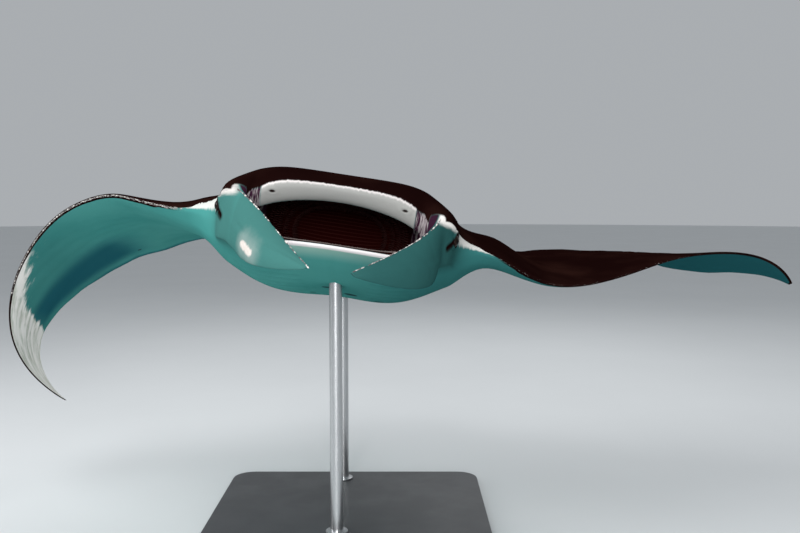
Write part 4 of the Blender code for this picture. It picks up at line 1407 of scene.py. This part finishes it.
def plate_tree():
    """A pointed plate on every point, standing along the direction noted there."""
    tree, given = new_tree("plates on points", [
        ("Plate size", "NodeSocketVector"), ("Smallest", "NodeSocketFloat"),
        ("Largest", "NodeSocketFloat"), ("Seed", "NodeSocketInt"),
        ("Material", "NodeSocketMaterial")])
    plate = add_node(tree, "GeometryNodeMeshCone",
                     {"Vertices": 6, "Radius Top": 0.35, "Radius Bottom": 1.0, "Depth": 1.0})
    shaped = add_node(tree, "GeometryNodeTransform",
                      {"Geometry": plate["Mesh"], "Scale": given["Plate size"]})
    stands = add_node(tree, "GeometryNodeInputNamedAttribute", {"Name": "stands"},
                      data_type="FLOAT_VECTOR")
    upright = add_node(tree, "FunctionNodeAlignRotationToVector",
                       {"Vector": stands["Attribute"]}, axis="Z")
    runs = add_node(tree, "GeometryNodeInputNamedAttribute", {"Name": "runs"},
                    data_type="FLOAT_VECTOR")
    turned = add_node(tree, "FunctionNodeAlignRotationToVector",
                      {"Vector": runs["Attribute"], "Rotation": upright["Rotation"]},
                      axis="X", pivot_axis="Z")
    points = add_node(tree, "GeometryNodeMeshToPoints", {"Mesh": given["Geometry"]})
    set_instances(tree, given, points["Points"], shaped["Geometry"], turned["Rotation"])
    return tree


def grown(name, source, tree, **values):
    """A plain mesh object of what the tree makes of the source mesh."""
    helper = shown(name, source)
    modifier = helper.modifiers.new("grow", "NODES")
    modifier.node_group = tree
    for item in tree.interface.items_tree:
        key = item.name.replace(" ", "_")
        if item.in_out == "INPUT" and key in values:
            modifier[item.identifier] = values[key]
    bpy.context.view_layer.update()
    evaluated = helper.evaluated_get(bpy.context.evaluated_depsgraph_get())
    data = bpy.data.meshes.new_from_object(evaluated)
    data.name = name
    bpy.data.objects.remove(helper)
    made = shown(name, data)
    data.calc_loop_triangles()
    print(name, "has", len(data.loop_triangles), "triangles")
    return made


beads_along = bead_tree()
plates_on = plate_tree()


# %% [markdown]
# ### Beaded edges
# The thin rims of the head fins carry a close row of swollen beads of skin, painted white where the
# sun strikes them and dark in their own shade. On the leading edge of the animal's right wing they
# are smaller and sparser.

# %% Lines on the skin
RIM_POINTS = 60
LINE_POINTS = 160


def on_skin(points):
    """The nearest places on the rounded flat body to a list of points."""
    return np.array([rounded.find_nearest(Vector(point))[0] for point in points])


def line_mesh(name, lines):
    """A mesh of open lines through arrays of places."""
    data = bpy.data.meshes.new(name)
    places = []
    edges = []
    for line in lines:
        start = len(places)
        places += [tuple(place) for place in line]
        edges += [(start + i, start + i + 1) for i in range(len(line) - 1)]
    data.from_pydata(places, edges, [])
    return data


def fin_rim(side, first, last):
    """The rim of a head fin, on the side of its outer face."""
    points = []
    for share in np.linspace(first, last, RIM_POINTS).tolist():
        place = quadratic(RIM_BASE, RIM_MIDDLE, FIN_TIP, share)
        edge = quadratic(EDGE_START, EDGE_MIDDLE, EDGE_TIP, share)
        outward = (FIN_TIP - RIM_START).cross(edge - place).normalized()
        place = place + outward * float(along(FIN_HALF_THICKNESS, share)) * FIN_RIM_SHARE
        points.append((side * place.x + fin_shift(share), place.y, place.z))
    return posed(on_skin(points))


def wing_edge(side, first, last):
    """The foremost line of a wing's leading edge."""
    spans = np.linspace(first, last, LINE_POINTS)
    below_edge = np.full(LINE_POINTS, -0.004)
    points = np.stack([side * spans, leading_edge(spans) - 0.01, below_edge], axis=1)
    return posed(on_skin(points))


def bead_finish():
    """Swollen skin, painted white where the sun strikes it and dark in its own shade."""
    recipe = Recipe("bead sun and shade")
    patch = recipe.noise(recipe.place(), 90.0, 2.0)
    colour = recipe.mix(recipe.fade(patch, 0.42, 0.60), (0.10, 0.08, 0.085), SUNLIT)
    recipe.bump(recipe.noise(recipe.place(), 700.0, 2.0), 0.2, 0.001)
    return recipe.finish(Base_Color=colour, Roughness=0.55, Specular_IOR_Level=0.15)


bead_sun_and_shade = bead_finish()
rims = line_mesh("rims", [fin_rim(1, 0.02, 0.99), fin_rim(-1, 0.02, 0.99)])
fin_beads = grown("fin_beads", rims, beads_along, Spacing=0.0125, Bead_size=(6.0, 1.5, 1.7),
                  Smallest=0.0007, Largest=0.0017, Share_left_out=0.12, Seed=4,
                  Material=bead_sun_and_shade)
hems = line_mesh("hems", [wing_edge(-1, 0.49, 1.30)])
wing_beads = grown("wing_beads", hems, beads_along, Spacing=0.0150, Bead_size=(5.0, 2.4, 1.8),
                   Smallest=0.0005, Largest=0.0011, Share_left_out=0.30, Seed=9,
                   Material=bead_sun_and_shade)
for piece in (fin_beads, wing_beads):
    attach(piece, "root")


# %% [markdown]
# ### Gill combs and teeth
# Water that enters the mouth leaves through the gills, past five rings of combs that hold the
# plankton back. Each ring follows the wall of the throat, and its plates stand inwards, close
# together and leaning back. A manta's teeth are peg-like and hardly larger than a pin's head;
# they form one band inside the lower lip. The combs are nearly black, the teeth a dull brown.

# %% Rows of plates
def points_mesh(name, places, stands, runs):
    """Points with the directions in which a plate stands and runs."""
    data = bpy.data.meshes.new(name)
    data.from_pydata([tuple(place) for place in places], [], [])
    for label, values in (("stands", stands), ("runs", runs)):
        made = data.attributes.new(label, "FLOAT_VECTOR", "POINT")
        made.data.foreach_set("vector", np.array(values, np.float32).ravel())
    return data


def comb_ring(back, count):
    """Places on the throat's wall round the mouth's axis, and the ways in and along there."""
    places = []
    centre = Vector((0, back, 0.0))
    for angle in np.radians(np.linspace(-28, 208, count)):
        out = Vector((math.cos(angle), 0.35, math.sin(angle))).normalized()
        hit = rounded.ray_cast(centre, out)[0]
        places.append(tuple(hit - out * 0.004))
    places = posed(places)
    runs = np.gradient(places, axis=0)
    stands = posed([tuple(centre)])[0] - places
    stands = stands / np.linalg.norm(stands, axis=1)[:, None]
    return places, stands + np.array([0, 0.5, 0]), runs


def dark_flesh(name, colour, other):
    recipe = Recipe(name)
    patch = recipe.noise(recipe.place(), 60.0, 3.0)
    recipe.bump(recipe.noise(recipe.place(), 400.0, 2.0), 0.2, 0.001)
    return recipe.finish(Base_Color=recipe.mix(patch, colour, other), Roughness=0.60,
                         Specular_IOR_Level=0.05)


COMB_PLACES = (0.150, 0.175, 0.200, 0.230, 0.265)  # behind the lip
PLATES_IN_RING = 110
rings = [comb_ring(back, PLATES_IN_RING) for back in COMB_PLACES]
combs = points_mesh("combs", *(np.concatenate(parts) for parts in zip(*rings)))
gill_combs = grown("gill_combs", combs, plates_on, Plate_size=(0.0022, 0.0045, 0.016),
                   Smallest=0.8, Largest=1.15, Seed=2,
                   Material=dark_flesh("gill comb", (0.016, 0.004, 0.004), (0.030, 0.010, 0.009)))

TOOTH_ROWS = 6
TEETH_IN_ROW = 84
TOOTH_BAND = 0.37  # from end to end
tooth_places = []
tooth_stands = []
for line in range(TOOTH_ROWS):
    for step in range(TEETH_IN_ROW):
        at = TOOTH_BAND * (step + 0.5 * (line % 2)) / TEETH_IN_ROW - TOOTH_BAND / 2
        place = Vector((at, INNER_LIP[0] + LIP_SWEEP * at * at + 0.004 + 0.0042 * line,
                        INNER_LIP[1] + 0.002))
        hit, normal = rounded.find_nearest(place)[:2]
        tooth_places.append(tuple(hit))
        tooth_stands.append(tuple(PLACE.to_3x3() @ (normal + Vector((0, 0.6, 0)))))
tooth_places = posed(tooth_places)
band = points_mesh("teeth", tooth_places, tooth_stands, np.tile([1.0, 0, 0], (len(tooth_places), 1)))
teeth = grown("teeth", band, plates_on, Plate_size=(0.0011, 0.0011, 0.0032), Smallest=0.8,
              Largest=1.2, Seed=3,
              Material=dark_flesh("tooth", (0.16, 0.13, 0.12), (0.24, 0.20, 0.19)))
for piece in (gill_combs, teeth):
    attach(piece, "root")

# %% [markdown]
# ## Eyes
# Each eye is a ball set in its socket, as a taxidermist would do it. It looks outwards, a little
# forwards and down. The iris is a very dark brown, and the pupil is a broad black slot with a
# lobe of iris that hangs into it from above, like an awning. The ball has little shine, so that
# it doesn't mirror the pale studio.

# %% Eyes
GAZE = Vector((0.90, -0.40, -0.12)).normalized()
CORNEA_RISE = 0.0016


def eye_finish():
    recipe = Recipe("eye")
    out = recipe.noted("out")
    up = recipe.noted("up")
    along_eye = recipe.noted("along_eye")
    along_squared = recipe.times(along_eye, along_eye)
    from_axis = recipe.sum("SQRT", recipe.plus(recipe.times(up, up), along_squared))
    rays = recipe.noise(recipe.place_from(recipe.times(up, 2.0), recipe.times(along_eye, 2.0),
                                          recipe.times(from_axis, 0.4)), 7.0, 4.0)
    iris = recipe.mix(recipe.fade(rays, 0.40, 0.65), (0.006, 0.0035, 0.003), (0.022, 0.012, 0.007))
    white = recipe.mix(recipe.noise(recipe.place(), 500.0), (0.010, 0.008, 0.009),
                       (0.035, 0.026, 0.024))
    colour = recipe.mix(recipe.fade(from_axis, 0.60, 0.66), iris, white)
    awning = recipe.plus(recipe.times(along_squared, 1.6), -0.02)
    slot_length = recipe.spot(recipe.sum("ABSOLUTE", recipe.times(along_eye, 0.80)), 0.30, 0.34)
    slot_height = recipe.times(recipe.fade(up, -0.27, -0.22),
                               recipe.fade(recipe.less(up, awning), 0.04, 0.0))
    slot = recipe.times(slot_length, slot_height)
    slot = recipe.times(slot, recipe.fade(out, 0.0, 0.1))
    colour = recipe.mix(slot, colour, (0.001, 0.001, 0.0012))
    return recipe.finish(Base_Color=colour, Roughness=0.12, Specular_IOR_Level=0.10)


eye_paint = eye_finish()
for label, side in (("left", 1), ("right", -1)):
    ball = bmesh.new()
    bmesh.ops.create_uvsphere(ball, u_segments=64, v_segments=40, radius=1.0)
    layers = [ball.verts.layers.float.new(name) for name in ("out", "up", "along_eye")]
    centre = Vector((side * EYE_PLACE[0], EYE_PLACE[1], EYE_PLACE[2]))
    axis = Vector((side * GAZE.x, GAZE.y, GAZE.z))
    back = Vector((0, 0, 1)).cross(axis).normalized()
    upward = axis.cross(back)
    for vertex in ball.verts:
        direction = vertex.co.normalized()
        # The sphere's own z is the axis of the eye.
        direction = axis * direction.z + back * direction.x + upward * direction.y
        for layer, way in zip(layers, (axis, upward, back)):
            vertex[layer] = direction.dot(way)
        bulge = CORNEA_RISE * max(0.0, direction.dot(axis) - 0.55) / 0.45
        vertex.co = PLACE @ (centre + direction * (EYE_RADIUS - CORNEA_RISE + bulge))
    bmesh.ops.recalc_face_normals(ball, faces=ball.faces)
    data = bpy.data.meshes.new(f"eyeball_{label}")
    ball.to_mesh(data)
    ball.free()
    data.shade_smooth()
    data.materials.append(eye_paint)
    eyeball = shown(f"eyeball_{label}", data)
    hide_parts(f"eye_{label}")
    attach(eyeball, "root")
print("eyes look", [round(value, 2) for value in GAZE])

# %% [markdown]
# ## The stand
# The manta seems to glide, so the stand stays plain and low-key: a flat plate of steel, sprayed
# dark grey with a fine texture, and two round rods of brushed stainless steel that enter the
# belly on its centre line. The plate's edges are slightly broken, as sheet metal's are, so that
# they catch a thin line of light. A small flange covers the foot of each rod.

# %% Stand finishes
EDGE_BREAK = 0.003
FLANGE_REACH = 0.016
FLANGE_HEIGHT = 0.007
FLANGE_EDGE_BREAK = 0.0015
ROUND_SIDES = 64


def painted_finish():
    recipe = Recipe("sprayed steel")
    grain = recipe.noise(recipe.place(), 900.0, 2.0)
    cloud = recipe.noise(recipe.place(), 6.0, 3.0)
    recipe.bump(grain, 0.35, 0.0006)
    colour = recipe.mix(cloud, (0.034, 0.036, 0.040), (0.046, 0.048, 0.052))
    return recipe.finish(Base_Color=colour, Roughness=recipe.fade(cloud, 0.3, 0.7, 0.42, 0.54))


def brushed_finish():
    recipe = Recipe("brushed steel")
    brushing = recipe.noise(recipe.stretched(recipe.place(), 900.0, 900.0, 12.0), 1.0, 3.0)
    colour = recipe.mix(brushing, (0.46, 0.47, 0.48), (0.60, 0.61, 0.62))
    recipe.bump(brushing, 0.15, 0.0004)
    return recipe.finish(Base_Color=colour, Metallic=1.0,
                         Roughness=recipe.fade(brushing, 0.3, 0.7, 0.24, 0.36))


def stand_piece(name, mesh, finish, slot, *replaced):
    data = bpy.data.meshes.new(name)
    mesh.to_mesh(data)
    mesh.free()
    data.shade_smooth()
    data.set_sharp_from_angle(angle=math.radians(30))
    data.materials.append(finish)
    piece = shown(name, data)
    if replaced:
        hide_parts(*replaced)
    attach(piece, "root")
    return piece


def cylinder(radius, height):
    mesh = bmesh.new()
    bmesh.ops.create_cone(mesh, cap_ends=True, segments=ROUND_SIDES, radius1=radius,
                          radius2=radius, depth=height)
    return mesh


def break_edges(mesh, width, profile):
    """Rounds off every edge that is sharper than 60 degrees."""
    sharp = [edge for edge in mesh.edges if edge.calc_face_angle(0) > math.radians(60)]
    bmesh.ops.bevel(mesh, geom=sharp, offset=width, segments=3, affect="EDGES", profile=profile)


steel = brushed_finish()
plate = bmesh.new()
plate.from_mesh(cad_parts["stand_base"].data)
bmesh.ops.remove_doubles(plate, verts=plate.verts, dist=1e-5)
bmesh.ops.dissolve_limit(plate, angle_limit=math.radians(1), verts=plate.verts, edges=plate.edges)
break_edges(plate, EDGE_BREAK, 0.6)
stand_piece("base_plate", plate, painted_finish(), "painted_base", "stand_base")

for name in ("stand_rod_front", "stand_rod_rear"):
    low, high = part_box(name)
    radius = (high.x - low.x) / 2
    middle = (Vector(low) + Vector(high)) / 2
    rod = cylinder(radius, high.z - low.z)
    bmesh.ops.translate(rod, verts=rod.verts, vec=middle)
    stand_piece(name + "_round", rod, steel, "brushed_steel", name)
    flange = cylinder(radius + FLANGE_REACH, FLANGE_HEIGHT)
    break_edges(flange, FLANGE_EDGE_BREAK, 0.5)
    bmesh.ops.translate(flange, verts=flange.verts,
                        vec=(middle.x, middle.y, low.z + FLANGE_HEIGHT / 2))
    stand_piece(name + "_flange", flange, steel, "brushed_steel")
print("stand finished")

# %% [markdown]
# ## Size of the dressed model
# The bounds of every shown object, the floor aside, are measured. The dressed model may only be
# a few millimetres larger than the imported solids.

# %% Sizes
low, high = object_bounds()
